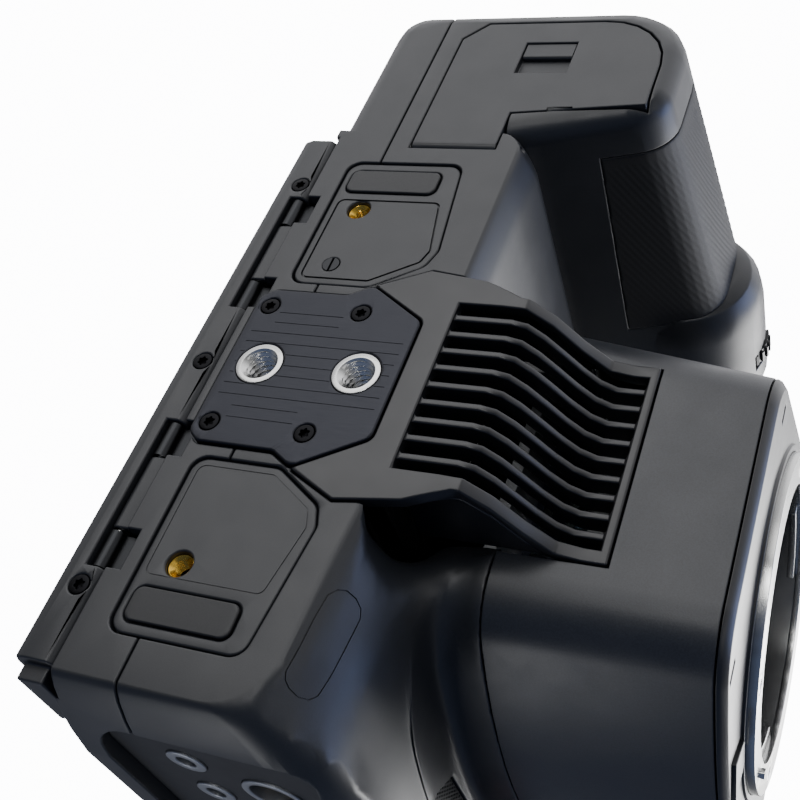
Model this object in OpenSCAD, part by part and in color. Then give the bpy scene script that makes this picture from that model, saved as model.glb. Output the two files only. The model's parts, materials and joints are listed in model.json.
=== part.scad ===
// Digital cinema camera with a side grip, a raised lens housing, a bottom air inlet
// and a tilting rear screen. Millimetres, +Z up, lens facing -Y, grip at -X.
// The origin is the mouth of the front tripod thread, on the base plate's lower face.

/* [Body] */
// Distance from the optical axis to the outside of the grip
grip_out = 108.5; // [107:0.5:111]
// Distance from the optical axis to the port side
port_out = 69.5; // [69:0.5:73]
// Height of the shoulders above the base plate
shoulder_h = 98; // [97.5:0.5:100]
// Rise of the raised top cover above the shoulders
hump_rise = 12; // [11.5:0.5:14]
// Distance of the rear face behind the front thread
body_back = 30; // [30:0.5:32]
// Height of the casing's underside above the base plate's face
floor_lift = 0.6; // [0.5:0.1:0.8]
// Thickness of the casing walls
wall = 2.4; // [2.2:0.1:2.6]
// Gap between two casing pieces
seam = 0.3; // [0.2:0.05:0.4]

/* [Lens mount] */
// Height of the optical axis
axis_h = 65; // [64.5:0.5:66]
// Distance of the lens flange in front of the front thread
flange_front = 71.9; // [71.5:0.1:73]
// Radius of the clear opening in the bayonet ring
throat_r = 27; // [26.5:0.1:27.2]
// Outer radius of the bayonet ring
ring_r = 33; // [32.8:0.1:33.5]
// Distance from the lens flange back to the sensor
flange_depth = 44; // [43.8:0.1:44.5]

/* [Base] */
// Distance between the two tripod threads
thread_pitch = 19.8; // [19.4:0.2:20.4]
// Wall radius of a tripod thread
thread_r = 2.6; // [2.5:0.05:2.8]
// Depth of a tripod thread
thread_len = 8; // [7:0.5:9]
// Number of fins in the air inlet
fin_count = 9; // [7:1:9]

/* [Screen] */
// Width of the screen housing
screen_w = 126; // [125:0.5:127]
// Height of the screen housing
screen_h = 88; // [87:0.5:89]
// Thickness of the screen housing
screen_t = 8.5; // [8.3:0.1:9.5]

/* [Battery] */
// Width of the battery pack, from front to back
battery_w = 38.4; // [37.8:0.1:38.6]
// Thickness of the battery pack
battery_t = 20.6; // [20:0.1:20.8]
// Length of the battery pack
battery_l = 70.8; // [69:0.1:71.5]

/* [Hidden] */
$fn = 64;
hump_h = shoulder_h + hump_rise;
hull_fn = 32;
arc_steps = 6;
cut = 0.5;
skin = 0.01;
layer_t = 0.1;
fit = 0.3;
pin_fit = 0.05;
low_steps = [0, 0.02, 0.06, 0.15, 0.35, 0.65, 1];
round_angles = [0, 30, 60, 90];

// Casing outline
split_y = 16.5;
left_front = 15;
left_r = 6;
left_in = 60;
left_low_h = 8;
left_low_back = 3;
port_front = 20;
port_r = 9;
port_low_h = 20;
port_low_in = 6;
port_low_back = 12.5;
neck_side_r = 12;
neck_side_x = 8;
neck_low_back = 8.5;
back_run = 14;
edge_r = 5;
cavity_back = 5.3;
cavity_step_z = floor_lift + 0.7 * port_low_h;
cavity_step_x = 17.4;
left_corners = [
    [-left_in, left_r - left_front, left_r, 0, left_low_back],
    [-left_r, left_r - left_front, left_r, 0, left_low_back],
    [-left_in, body_back + back_run, left_r, 0, 0],
    [-left_r, body_back + back_run, left_r, 0, 0]];
port_corners = [
    [port_out - port_r, port_r - port_front, port_r, -port_low_in, port_low_back],
    [neck_side_x, neck_side_r - port_front, neck_side_r, 0, neck_low_back],
    [port_out - port_r, body_back + back_run, port_r, -port_low_in, 0],
    [neck_side_x, body_back + back_run, neck_side_r, 0, 0]];

// Grip: radius and edge distances of its corners, low down and high up
grip_in = 72;
grip_low_front = 39.5;
grip_high_front = 49;
grip_low_z = 8;
grip_high_z = 75;
grip_low_r = 16;
grip_high_r = 18;
finger_low_r = 9;
finger_high_r = 10;
palm_r = 8;
palm_in = 66;
web_x = 77;
web_y = 12;
web_r = 8;
grip_edge = 4.5;
grip_bow = 0.15;
grip_low = [[grip_low_r - grip_out, grip_low_r - grip_low_front, grip_low_r],
    [-grip_in - finger_low_r, finger_low_r - grip_low_front, finger_low_r],
    [-web_x, -web_y, web_r], [palm_r - grip_out, body_back - palm_r, palm_r],
    [-palm_in, body_back - palm_r, palm_r]];
grip_high = [[grip_high_r - grip_out, grip_high_r - grip_high_front, grip_high_r],
    [-grip_in - finger_high_r, finger_high_r - grip_high_front, finger_high_r],
    [-web_x, -web_y, web_r], [palm_r - grip_out, body_back - palm_r, palm_r],
    [-palm_in, body_back - palm_r, palm_r]];
bulge_x = 87;
bulge_front = 53.5;
bulge_r = 18;
bulge_low = 60;
bulge_rise = 9;

// Rubber on the grip
rubber_t = 1.5;
rubber_gap = 0.1;
rubber_low = 11;
rubber_high = 62;
rubber_inner_y = 25.5;
rubber_outer_y = 8;
rubber_turn_x = 90;
rubber_side_x = 79;

// Lens housing section
box_low = 17;
box_top = 108;
box_half = 44.5;
box_wall = 2.2;
box_back = 29;
box_low_r = 12;
box_top_r = 16;
box_side_r = 130;
box_side_z = 72;
box_tuck_front = 8.8;
box_tuck_back = 2.8;
box_front = flange_front - 4;
neck_lead = 7;
neck_r = 1.5;
neck_steps = 6;
neck_root = 14;
neck_bore_half = 31;
neck_bore_low = 30;

// Front plate and bayonet
plate_t = 1.8;
plate_bevel = 1.6;
plate_front = box_front + plate_t;
ring_t = flange_front - plate_front;
ring_seat_r = 34.5;
ring_seat_t = 0.6;
skirt_t = 1.4;
skirt_len = 3.7;
lug_r = 25;
lug_t = 1.4;
lug_set = 1.6;
lug_count = 3;
lip_t = 1.3;
lip_step = 0.4;
lug_start_angle = 20;
lug_angle = 40;
ring_screw_r = 1.3;
ring_screw_head = 1.9;
ring_screw_head_t = 1;
ring_screw_len = 5;
ring_screw_circle = 29.9;
ring_screw_angles = [40, 140, 220, 320];
lock_r = 1;
lock_proud = 1;
lock_len = 8.5;
lock_travel = 1.8;
lock_angle = 6;
key_angle = -21;
key_in = 34.8;
key_out = 42.6;
key_in_w = 5.2;
key_out_w = 8.8;
key_proud = 0.8;
key_depth = 3.8;
key_travel = 1;
eyelet_w = 1.4;
eyelet_l = 4.4;
eyelet_depth = 0.9;
eyelet_grip = [-20.4, 25.8];
eyelet_port = [31, 26];

// Parts behind the bayonet
contact_r_out = 26.6;
contact_r_in = 23.2;
contact_angle = 34;
contact_back = 1.3;
contact_t = 2.7;
baffle_front_r = 26.8;
baffle_t = 1.2;
baffle_gap = 0.4;
baffle_window_w = 30;
baffle_window_h = 22;
baffle_back = 40;
sensor_w = 23.1;
sensor_h = 13;
die_t = 0.8;
die_frame = 4;
sensor_y = flange_front - flange_depth;
sensor_glass_t = 1;
sensor_plate_t = 2.4;
rail_x = 23.3;
rail_y = 35;
rail_r = 1.5;
carrier_half = 27;
carrier_t = 4.4;
filter_w = 30;
filter_h = 20;
filter_t = 1.2;
filter_pitch = 26;
filter_rim = 3;
filter_lip = 1;

// Base plate
plate_h = 2.4;
plate_side = 18.3;
plate_apex = 21;
plate_apex_y = 4.4;
plate_nose = 13.2;
plate_nose_y = 8;
plate_tail_y = 27;
plate_low_y = 24.5;
plate_tail = 16.4;
plate_corner_r = 2.2;
base_screw_x = 14;
base_screw_front = 4.5;
base_screw_back = 23.8;
base_screw_r = 1;
base_screw_head = 1.9;
base_screw_head_t = 1.2;
base_screw_len = 5.5;
insert_r = 4.6;
insert_flange_r = 5.4;
insert_flange_t = 1;

// Air inlet
inlet_flat = 0.2;
inlet_t = 2.6;
inlet_rise_y = 25;
inlet_top_y = 42;
inlet_front_y = 48.3;
inlet_half = 21;
inlet_wing = 26;
inlet_wing_y = 5.6;
inlet_waist = 24.3;
inlet_waist_y = 17.5;
inlet_corner_r = 2.5;
inlet_steps = 12;
inlet_top = 16.6;
inlet_skirt = 1.8;
inlet_window_half = 18.4;
inlet_window_back = 13.6;
inlet_window_front = 46.6;
fin_w = 1.4;
fin_pitch = 3.87;
fin_set = 0.6;
fin_deep = 4.2;

// Foot covers
cover_t = 1.7;
cover_set = 0.3;
cover_out = 55.6;
cover_in = 21.2;
cover_back = 23.1;
cover_front = 4.8;
cover_corner_r = 3;
cover_shares = [[1, 1], [0, 1], [0, 0.4], [0.18, 0.05], [0.3, 0], [1, 0.1]];
strip_x = 50.2;
strip_w = 6.2;
strip_front = 1.6;
strip_back = 21.4;
strip_t = 1;
strip_corner_r = 1.6;
bush_x = 42;
bush_y = 16.2;
bush_r = 2.4;
bush_bore_r = 1.3;
bush_t = 3;
captive_x = 26.6;
captive_y = 16.2;
captive_r = 1.7;
captive_slot = 0.5;

// Battery bay and its door
bay_x = 86.5;
bay_y = 8.3;
bay_gap = 0.4;
bay_low = 4.2;
door_t = 2.4;
door_gap = 0.3;
hinge_x = 62.4;
hinge_z = 2;
barrel_r = 1.35;
door_pin_r = 0.6;
door_back = 11.5;
door_step_y = 7.2;
door_step_x = 72.3;
door_nose_x = 75.2;
door_front = 35.2;
door_out = 103;
door_round_r = 15;
door_out_y = 6.5;
door_tail_x = 97.5;
latch_x = 90.7;
latch_y = 10;
latch_w = 11.6;
latch_run = 10.4;
latch_depth = 1.5;
latch_tab = 4.6;
latch_tab_t = 1.1;
latch_gap = 0.2;
terminal_t = 3;
terminal_w = 24;
terminal_d = 12;

// Card door
card_y0 = 17.6;
card_y1 = 24.6;
card_z0 = 38;
card_z1 = 86;
card_door_t = 1.6;
card_pin_r = 0.7;
card_barrel_r = 1.3;
reader_w = 34;
reader_d = 6.2;
reader_gap = 0.4;
slot_w = 38;
slot_t = 1.4;
slot_depth = 20;

// Screen
screen_low = 1;
screen_y = body_back - 0.5;
screen_edge_r = 2.5;
recess_set = 0.9;
screen_ease = 3.5;
screen_side_gap = 0.5;
frame_wall = 1.6;
glass_t = 1;
glass_rim = 1.8;
lcd_w = 112;
lcd_h = 66;
lcd_t = 2.4;
tab_w = 3;
tab_low = 3;
tab_high = 18;
screen_screw_x = 48.8;
screen_screw_y = 32.6;
screen_screw_r = 1;
screen_screw_head = 1.9;
screen_screw_head_t = 1.1;
screen_screw_len = 5;
tilt_t = 1.2;
tilt_half = 55.6;
tilt_set = 2.6;
low_axis_y = body_back + 1.7;
low_axis_z = 3;
high_axis_y = body_back + 3.6;
high_axis_z = screen_low + screen_h - 3.4;
knuckle_r = 1.5;
knuckle_pin_r = 0.7;
pocket_in = 14;
pocket_out = 45;
pocket_depth = 3.9;
pocket_h = 5.2;
lug_in = 22;
lug_out = 37;
lug_gap = 0.3;
ear_w = 3;
ear_set = 0.6;
ear_out = tilt_half - ear_set;
ear_in = ear_out - ear_w;
ear_r = 2;
ear_pocket_r = 2.6;
ear_pin_over = 3;

// Buttons
button_gap = 0.25;
button_flange = 0.8;
button_flange_t = 0.8;
button_travel = 1;
button_proud = 0.9;
record_r = 5.5;
small_r = 3;
mid_r = 3.6;
record_at = [-89, -37];
stills_at = [-80, -22];
setting_x = 80;
setting_ys = [-8, 1, 10];
function_xs = [20, 32, 44];
function_y = 4;
front_record_at = [57, 88];
front_record_r = 3.2;
rear_button_x = 80;
rear_button_zs = [30, 44];
switch_at = [-96, 6];
switch_w = 5;
switch_l = 8;
switch_h = 1.6;
switch_travel = 4;
switch_depth = 2;
dial_x = 87;
dial_r = 7.5;
dial_proud = 1.2;
dial_y = dial_r - dial_proud - bulge_front;
dial_z = 85;
dial_t = 4;
dial_hub_r = 1.2;
dial_gap = 0.35;
dial_teeth = 24;
dial_tooth = 0.7;

// Port side
port_z0 = 11;
port_z1 = 86;
port_y0 = -14.5;
port_y1 = 25;
port_corner_r = 7;
port_set = 2.6;
port_frame_t = 2;
port_gap = 0.25;
socket_run = 9;
audio_r = 6;
audio_bore = 4.6;
audio_y = -3;
audio_zs = [27, 44];
jack_r = 3.6;
jack_bore = 1.8;
jack_y = 11;
jack_zs = [20, 33];
power_r = 5.4;
power_bore = 4;
power_z = 61;
data_y = 12;
hdmi_w = 14;
hdmi_h = 5.6;
hdmi_z = 50;
usb_w = 9;
usb_h = 3.4;
usb_z = 66;
shell_t = 0.6;
socket_depth = 6;
socket_proud = 0.4;

// Inside
board_t = 1.6;
board_y = 20;
board_half = 56;
board_low = 22;
board_high = 92;
post_r = 2.5;
post_x = 50;
sink_half = 26;
sink_low = 30;
sink_high = 84;
sink_base = 3;
sink_fin_t = 1;
sink_fins = 9;
sink_front = 2;
fan_r = 14;
fan_hub_r = 5;
fan_y = -2;
fan_low = 12;
fan_t = 6;
fan_blades = 9;
fan_blade_t = 1;
fan_bore = 1;
fan_post_r = 3;
hump_in = 34;
hump_out = 60;
hump_front = 24;
hump_back = 26;
hump_r = 9;
top_insert_y = -4;
mic_x = 51;
mic_low = 50;
mic_high = 80;
mic_w = 7;
mic_t = 1;
mic_set = 0.5;

// Points and outlines
function unit(v) = v / norm(v);
function turn(a, b) = let (d = b - a) d > 180 ? d - 360 : d < -180 ? d + 360 : d;
function arc(c, r, a0, a1, first = 0) =
    [for (i = [first : arc_steps]) let (a = a0 + (a1 - a0) * i / arc_steps) c + r * [cos(a), sin(a)]];
function round_corner(a, b, c, r) =
    let (u = unit(a - b), v = unit(c - b), half = acos(u * v) / 2,
         mid = b + unit(u + v) * r / sin(half),
         p = b + u * r / tan(half) - mid, q = b + v * r / tan(half) - mid,
         a0 = atan2(p.y, p.x), sweep = turn(a0, atan2(q.y, q.x)))
    arc(mid, r, a0, a0 + sweep);
function rounded(pts, r) =
    let (n = len(pts))
    [for (i = [0 : n - 1]) each round_corner(pts[(i + n - 1) % n], pts[i], pts[(i + 1) % n], r)];
function flip_x(pts) = [for (i = [len(pts) - 1 : -1 : 0]) [-pts[i].x, pts[i].y]];
function rect(x0, y0, x1, y1) = [[x0, y0], [x1, y0], [x1, y1], [x0, y1]];
function fall(t) = pow(1 - pow(t, 0.6), 1.2);
function smooth(t) = t <= 0 ? 0 : t >= 1 ? 1 : t * t * (3 - 2 * t);
function mix(a, b, t) = a + (b - a) * t;

module block(lo, hi) { translate(lo) cube(hi - lo); }
module prism_x(pts, x0, x1) {
    translate([x0, 0, 0]) rotate([90, 0, 90]) linear_extrude(x1 - x0) polygon(pts);
}
module prism_y(pts, y0, y1) {
    translate([0, y1, 0]) rotate([90, 0, 0]) linear_extrude(y1 - y0) polygon(pts);
}
module prism_z(pts, z0, z1) { translate([0, 0, z0]) linear_extrude(z1 - z0) polygon(pts); }
module rod_x(x0, x1, y, z, r) {
    translate([x0, y, z]) rotate([0, 90, 0]) cylinder(h = x1 - x0, r = r);
}
module rod_y(y0, y1, x, z, r) {
    translate([x, y0, z]) rotate([-90, 0, 0]) cylinder(h = y1 - y0, r = r);
}
module rod_z(z0, z1, x, y, r) { translate([x, y, z0]) cylinder(h = z1 - z0, r = r); }
module mirror_pair() {
    children();
    mirror([1, 0, 0]) children();
}
// A ring around the optical axis, from y0 (front) to y1
module lens_tube(r_out, r_in, y0, y1) {
    difference() {
        rod_y(y0, y1, 0, axis_h, r_out);
        rod_y(y0 - cut, y1 + cut, 0, axis_h, r_in);
    }
}

// A thin disc whose true edge is its lower face, or its upper face when mirrored, inside a hull
module rim(r, up) {
    translate([0, 0, up ? -layer_t : 0])
        cylinder(h = layer_t, r1 = up ? r - layer_t : r, r2 = up ? r : r - layer_t, $fn = hull_fn);
}
// Rounded casing forms
module form(corners, low_h) {
    hull() {
        for (t = low_steps, c = corners)
            translate([c[0] + c[3] * fall(t), c[1] + c[4] * fall(t), floor_lift + low_h * t])
                rim(c[2], false);
        for (a = round_angles, c = corners)
            translate([c[0], c[1], shoulder_h - edge_r * (1 - cos(a))])
                rim(c[2] - edge_r * (1 - sin(a)), true);
    }
}
module grip_layer(z, t, inset, up) {
    for (i = [0 : len(grip_low) - 1]) {
        c = mix(grip_low[i], grip_high[i], t);
        translate([c[0], c[1], z]) rim(c[2] - inset, up);
    }
}
module grip_form(inset) {
    hull() {
        for (a = round_angles) {
            grip_layer(floor_lift + grip_edge * (1 - cos(a)), 0,
                       inset + grip_bow + grip_edge * (1 - sin(a)), false);
            grip_layer(shoulder_h - edge_r * (1 - cos(a)), 1,
                       inset + grip_bow + edge_r * (1 - sin(a)), true);
        }
        grip_layer(grip_low_z, 0, inset, false);
        grip_layer(grip_high_z, 1, inset, true);
    }
}
module bulge_form() {
    hull()
        for (a = round_angles) {
            translate([-bulge_x, bulge_r - bulge_front, bulge_low + bulge_rise * (1 - cos(a))])
                rim(bulge_r - edge_r * (1 - sin(a)), false);
            translate([-bulge_x, bulge_r - bulge_front, shoulder_h - edge_r * (1 - cos(a))])
                rim(bulge_r - edge_r * (1 - sin(a)), true);
        }
}
// Cross-section of the lens housing, in x and z, moved in by e and tucked on the grip side
function box_section(e, tuck) =
    let (r = box_low_r - e / 2, big = box_side_r - e, low = box_low + max(e, 0),
         top = box_top - max(e, 0),
         half = box_half - e, dip = asin((box_side_z - low - r) / (big - r)),
         cx = half - big + (big - r) * cos(dip), rt = box_top_r - e / 2)
    concat(
        arc([cx, low + r], r, -90, -dip),
        arc([half - big, box_side_z], big, -dip, 0, 1),
        arc([half - rt, top - rt], rt, 0, 90),
        arc([rt - half, top - rt], rt, 90, 180),
        [[-half, box_side_z]],
        arc([tuck - cx, low + r], r, 205, 270));
function section_ring(e, tuck, y) = [for (p = box_section(e, tuck)) [p.x, y, p.y]];
// A closed solid through rings of points, from front to back
module loft(rings) {
    n = len(rings[0]);
    last = len(rings) - 1;
    polyhedron([for (r = rings) each r], concat(
        [[for (i = [0 : n - 1]) n - 1 - i], [for (i = [0 : n - 1]) i + n * last]],
        [for (k = [0 : last - 1], i = [0 : n - 1])
            let (a = k * n + i, b = k * n + (i + 1) % n)
            each [[a, b, a + n], [b, b + n, a + n]]]));
}
module neck_form() {
    loft([section_ring(0, box_tuck_back, -box_back),
          for (i = [0 : neck_steps])
              let (a = 90 * i / neck_steps)
                  section_ring(neck_r * (cos(a) - 1), box_tuck_back * cos(a),
                               neck_lead - box_back + neck_r * sin(a)),
          section_ring(-neck_r, 0, -neck_root)]);
}
// The zone that the rubber covers
rubber_zone = [[-grip_out - cut, rubber_outer_y], [-rubber_turn_x, rubber_outer_y],
    [-rubber_side_x, -rubber_inner_y], [-palm_in, -rubber_inner_y],
    [-palm_in, -bulge_front - cut], [-grip_out - cut, -bulge_front - cut]];

// Outlines seen from below
function plate_outline(g) = rounded([
    [plate_tail, plate_tail_y + g], [-plate_tail, plate_tail_y + g], [-plate_side - g, plate_low_y],
    [-plate_side - g, plate_apex_y + plate_side / 4], [-plate_apex - g, plate_apex_y],
    [-plate_nose - g, -plate_nose_y - g],
    [plate_nose + g, -plate_nose_y - g], [plate_apex + g, plate_apex_y],
    [plate_side + g, plate_apex_y + plate_side / 4], [plate_side + g, plate_low_y]], plate_corner_r);
function cover_outline(g) = rounded([for (s = cover_shares)
    [mix(cover_in - g, cover_out + g, s.x), mix(-cover_front - g, cover_back + g, s.y)]],
    cover_corner_r);
inlet_side = [[inlet_half, -inlet_front_y], [inlet_half, -inlet_rise_y],
    [inlet_waist, -inlet_waist_y], [inlet_wing, -inlet_wing_y], [plate_apex + seam, plate_apex_y - seam]];
module inlet_plan(z0, z1, g) {
    difference() {
        prism_z(concat(
            [for (p = inlet_side) [p.x + g, p.y > -inlet_front_y ? p.y : p.y - g]],
            flip_x([for (p = inlet_side) [p.x + g, p.y > -inlet_front_y ? p.y : p.y - g]])), z0, z1);
        prism_z(plate_outline(seam - g), z0 - cut, z1 + cut);
    }
}
// Height of the inlet's outer face at a distance in front of the origin
function inlet_z(y) = inlet_flat
    + (inlet_top - inlet_flat) * smooth((y - inlet_rise_y) / (inlet_top_y - inlet_rise_y));
function inlet_line(y0, y1, up) = [for (i = [0 : inlet_steps])
    let (y = mix(y0, y1, i / inlet_steps)) [-y, inlet_z(y) + up]];
function inlet_sheet(y0, y1, up, t) = concat(inlet_line(y0, y1, up), inlet_line(y1, y0, up + t));

// Buttons: the local z axis points out of the wall and z = 0 is its face
module button(r) {
    translate([0, 0, -wall - button_gap - button_flange_t]) {
        cylinder(h = wall + button_gap + button_flange_t + button_proud, r = r);
        cylinder(h = button_flange_t, r = r + button_flange);
    }
}
module button_seat(r) {
    translate([0, 0, -wall - cut]) cylinder(h = wall + 2 * cut, r = r + button_gap);
    translate([0, 0, -wall - 2 * button_gap - button_flange_t - button_travel])
        cylinder(h = 2 * button_gap + button_flange_t + button_travel,
                 r = r + button_flange + button_gap);
}
module on_shoulder(at) { translate([at.x, at.y, shoulder_h]) children(); }
module on_hump(x) { translate([x, function_y, hump_h]) children(); }
module on_rear(z) { translate([-rear_button_x, body_back, z]) rotate([-90, 0, 0]) children(); }
module on_front() {
    translate([front_record_at.x, -port_front, front_record_at.y]) rotate([90, 0, 0]) children();
}

// Openings shared by the casing pieces
module port_window(x0, x1, g) {
    prism_x(rounded(rect(port_y0 - g, port_z0 - g, port_y1 + g, port_z1 + g), port_corner_r), x0, x1);
}
door_outline = concat([[-hinge_x, door_back], [-hinge_x, -door_step_y], [-door_step_x, -door_step_y],
    [-door_nose_x, -door_front]],
    arc([door_round_r - door_out, door_round_r - door_front], door_round_r, 270, 180),
    [[-door_out, door_out_y], [-door_tail_x, door_back]]);
module door_plate(g, z0, z1) {
    prism_z([for (p = door_outline)
        [p.x + (p.x > -hinge_x - cut ? 0 : p.x > -door_nose_x - cut ? g : -g),
         p.y + (p.y > 0 ? g : -g)]], z0, z1);
}
module bay() {
    translate([-bay_x, -bay_y, (bay_low + battery_l) / 2])
        cube([battery_t + 2 * bay_gap, battery_w + 2 * bay_gap,
              battery_l + bay_low + 2 * terminal_t], center = true);
}
module base_cuts() {
    prism_z(plate_outline(seam), -cut, plate_h + seam);
    inlet_plan(-cut, inlet_top + inlet_t, seam);
    mirror_pair() prism_z(cover_outline(seam), -cut, floor_lift + cover_set + cover_t + seam);
    for (y = [0, thread_pitch]) rod_z(-cut, plate_h + thread_len, 0, y, insert_r + pin_fit);
    for (x = [-base_screw_x, base_screw_x], y = [base_screw_front, base_screw_back])
        rod_z(-cut, base_screw_len + cut, x, y, base_screw_r + pin_fit);
    mirror_pair() rod_z(-cut, floor_lift + cover_set + cover_t + bush_t + seam,
                        bush_x, bush_y, bush_r + pin_fit);
    rod_z(-cut, floor_lift + cover_set + cover_t + bush_t + seam, -captive_x, captive_y, captive_r + pin_fit);
}
module cavity() {
    block([-left_in, -left_front + wall, cavity_step_z],
          [port_out - wall - port_set, body_back - cavity_back, shoulder_h - wall]);
    block([-left_in, -left_front + wall, floor_lift + wall + cover_t],
          [cavity_step_x, body_back - cavity_back, cavity_step_z + cut]);
    block([-left_in, port_low_back - port_front + wall, floor_lift + wall + cover_t],
          [port_out - wall - port_set, body_back - cavity_back, cavity_step_z + cut]);
    block([-hump_in + wall, -hump_front + left_front, shoulder_h - wall - cut],
          [hump_out - 2 * wall, hump_back - wall - cut, shoulder_h + cut]);
}
// Everything in front of or behind the split between the two shells
module front_half() {
    block([-grip_out - cut, -flange_front, -cut], [port_out + cut, split_y - seam / 2, shoulder_h]);
}

module front_shell() {
    color("#33363b") difference() {
        intersection() {
            union() {
                form(left_corners, left_low_h);
                form(port_corners, port_low_h);
                difference() {
                    grip_form(0);
                    difference() {
                        prism_z(rubber_zone, rubber_low, rubber_high);
                        grip_form(rubber_t + rubber_gap);
                    }
                }
                bulge_form();
                neck_form();
            }
            front_half();
        }
        cavity();
        block([-neck_bore_half, -box_back - cut, neck_bore_low],
              [neck_bore_half, -left_front + wall + cut, shoulder_h - wall]);
        block([-inlet_half + inlet_skirt, -box_back - cut, -cut],
              [inlet_half - inlet_skirt, -left_front + wall + cut, neck_bore_low + cut]);
        block([-inlet_half - seam, -box_back - cut, -cut],
              [inlet_half + seam, -left_front, inlet_top + seam]);
        base_cuts();
        door_plate(door_gap, -cut, floor_lift + door_t + seam);
        bay();
        rod_y(-door_step_y - door_gap, door_back + door_gap, -hinge_x, hinge_z, barrel_r + door_gap);
        block([-hinge_x - cut, -door_step_y - door_gap, -cut],
              [-hinge_x + barrel_r + door_gap, door_back + door_gap, hinge_z]);
        rod_y(-door_step_y - 3 * door_t, door_back + door_t, -hinge_x, hinge_z, door_pin_r + pin_fit);
        port_window(port_out - wall - port_set - cut, port_out + cut, 0);
        on_shoulder(record_at) button_seat(record_r);
        on_shoulder(stills_at) button_seat(mid_r);
        for (y = setting_ys) on_shoulder([-setting_x, y]) button_seat(small_r);
        on_front() button_seat(front_record_r);
        translate([switch_at.x, switch_at.y, shoulder_h - switch_depth])
            block([-switch_w / 2 - fit, -switch_l / 2 - fit, 0],
                  [switch_w / 2 + fit, switch_l / 2 + switch_travel + fit, switch_depth + cut]);
        rod_z(dial_z - dial_t / 2 - dial_gap, dial_z + dial_t / 2 + dial_gap,
              -dial_x, dial_y, dial_r + 2 * dial_gap);
        rod_z(dial_z - dial_t, dial_z + dial_t,
              -dial_x, dial_y, dial_hub_r + pin_fit);
        mic_plate(mic_set + mic_t, seam);
    }
}

module rear_shell() {
    color("#34373c") {
        difference() {
            intersection() {
                union() {
                    form(left_corners, left_low_h);
                    form(port_corners, port_low_h);
                    grip_form(0);
                }
                block([-grip_out - cut, split_y + seam / 2, -cut],
                      [port_out + cut, body_back, shoulder_h]);
            }
            cavity();
            base_cuts();
            block([-screen_w / 2 - screen_side_gap, body_back - recess_set, -cut],
                  [screen_w / 2 + tab_w + screen_side_gap, body_back + cut,
                   screen_low + screen_h + 2 * screen_side_gap]);
            block([-tilt_half - seam, body_back - tilt_set - tilt_t, low_axis_z],
                  [tilt_half + seam, body_back + cut, high_axis_z + 2 * ear_r]);
            mirror_pair() {
                block([pocket_in, body_back - tilt_set - tilt_t, -cut],
                      [lug_in - lug_gap, body_back, low_axis_z + cut]);
                block([lug_out + lug_gap, body_back - tilt_set - tilt_t, -cut],
                      [pocket_out, body_back, low_axis_z + cut]);
            }
            port_window(port_out - wall - port_set - cut, port_out + cut, 0);
            for (z = rear_button_zs) on_rear(z) button_seat(mid_r);
            block([-grip_out - cut, card_y0 - seam, card_z0 - seam],
                  [-grip_out + card_door_t + 2 * seam, card_y1 + seam, card_z1 + seam]);
            block([-grip_out, (card_y0 + card_y1 - reader_d) / 2 - reader_gap, card_z0 + card_door_t],
                  [-grip_out + reader_w + 3 * wall, (card_y0 + card_y1 + reader_d) / 2 + reader_gap,
                   card_z1 - card_door_t]);
            card_hinge_rod(2 * card_door_t, card_pin_r + pin_fit);
            card_hinge_rod(seam, card_barrel_r + seam);
        }
        mirror_pair() difference() {
            union() {
                rod_x(lug_in, lug_out, low_axis_y, low_axis_z, knuckle_r);
                block([lug_in, body_back - recess_set - wall, low_axis_z - knuckle_r],
                      [lug_out, low_axis_y, low_axis_z]);
            }
            rod_x(lug_in - cut, lug_out + cut, low_axis_y, low_axis_z, knuckle_pin_r + pin_fit);
        }
    }
}

module top_cover() {
    color("#35383d") difference() {
        union() {
            intersection() {
                neck_form();
                block([-grip_out, -flange_front, shoulder_h + seam], [grip_out, body_back, hump_h]);
            }
            hull()
                for (a = round_angles, x = [-hump_in + hump_r, hump_out - hump_r],
                     y = [-hump_front + hump_r, hump_back - hump_r]) {
                    translate([x, y, shoulder_h + seam]) rim(hump_r, false);
                    translate([x, y, hump_h - edge_r * (1 - cos(a))])
                        rim(hump_r - edge_r * (1 - sin(a)), true);
                }
        }
        block([-hump_in + 2 * wall, -hump_front + 2 * wall, shoulder_h - cut],
              [hump_out - 2 * wall, hump_back - 2 * wall, hump_h - wall]);
        for (x = function_xs) on_hump(x) button_seat(small_r);
        rod_z(hump_h - thread_len, hump_h + cut, 0, top_insert_y, insert_r + pin_fit);
        rod_z(hump_h - insert_flange_t, hump_h + cut, 0, top_insert_y, insert_flange_r + pin_fit);
    }
}

module grip_rubber() {
    color("#1f2124") difference() {
        intersection() {
            grip_form(0);
            prism_z(rubber_zone, rubber_low + rubber_gap, rubber_high - rubber_gap);
            block([-grip_out - cut, -flange_front, 0], [-palm_in, rubber_outer_y - rubber_gap, shoulder_h]);
        }
        grip_form(rubber_t);
        bulge_form();
    }
}

module lens_housing() {
    color("#3a3d42") difference() {
        loft([section_ring(0, box_tuck_front, seam - box_front),
              section_ring(0, box_tuck_back, -box_back - seam)]);
        loft([section_ring(box_wall, box_tuck_front, -box_front - cut),
              section_ring(box_wall, box_tuck_back, cut - box_back)]);
        mirror_pair() rod_z(box_low + box_wall / 2, box_top - box_wall / 2,
                            rail_x, -rail_y, rail_r + pin_fit);
        block([-inlet_half - seam, -inlet_front_y - seam, 0],
              [inlet_half + seam, -box_back + cut, box_low + box_wall + cut]);
        release_key(seam, -box_front - cut, key_depth - box_front);
    }
}

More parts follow.
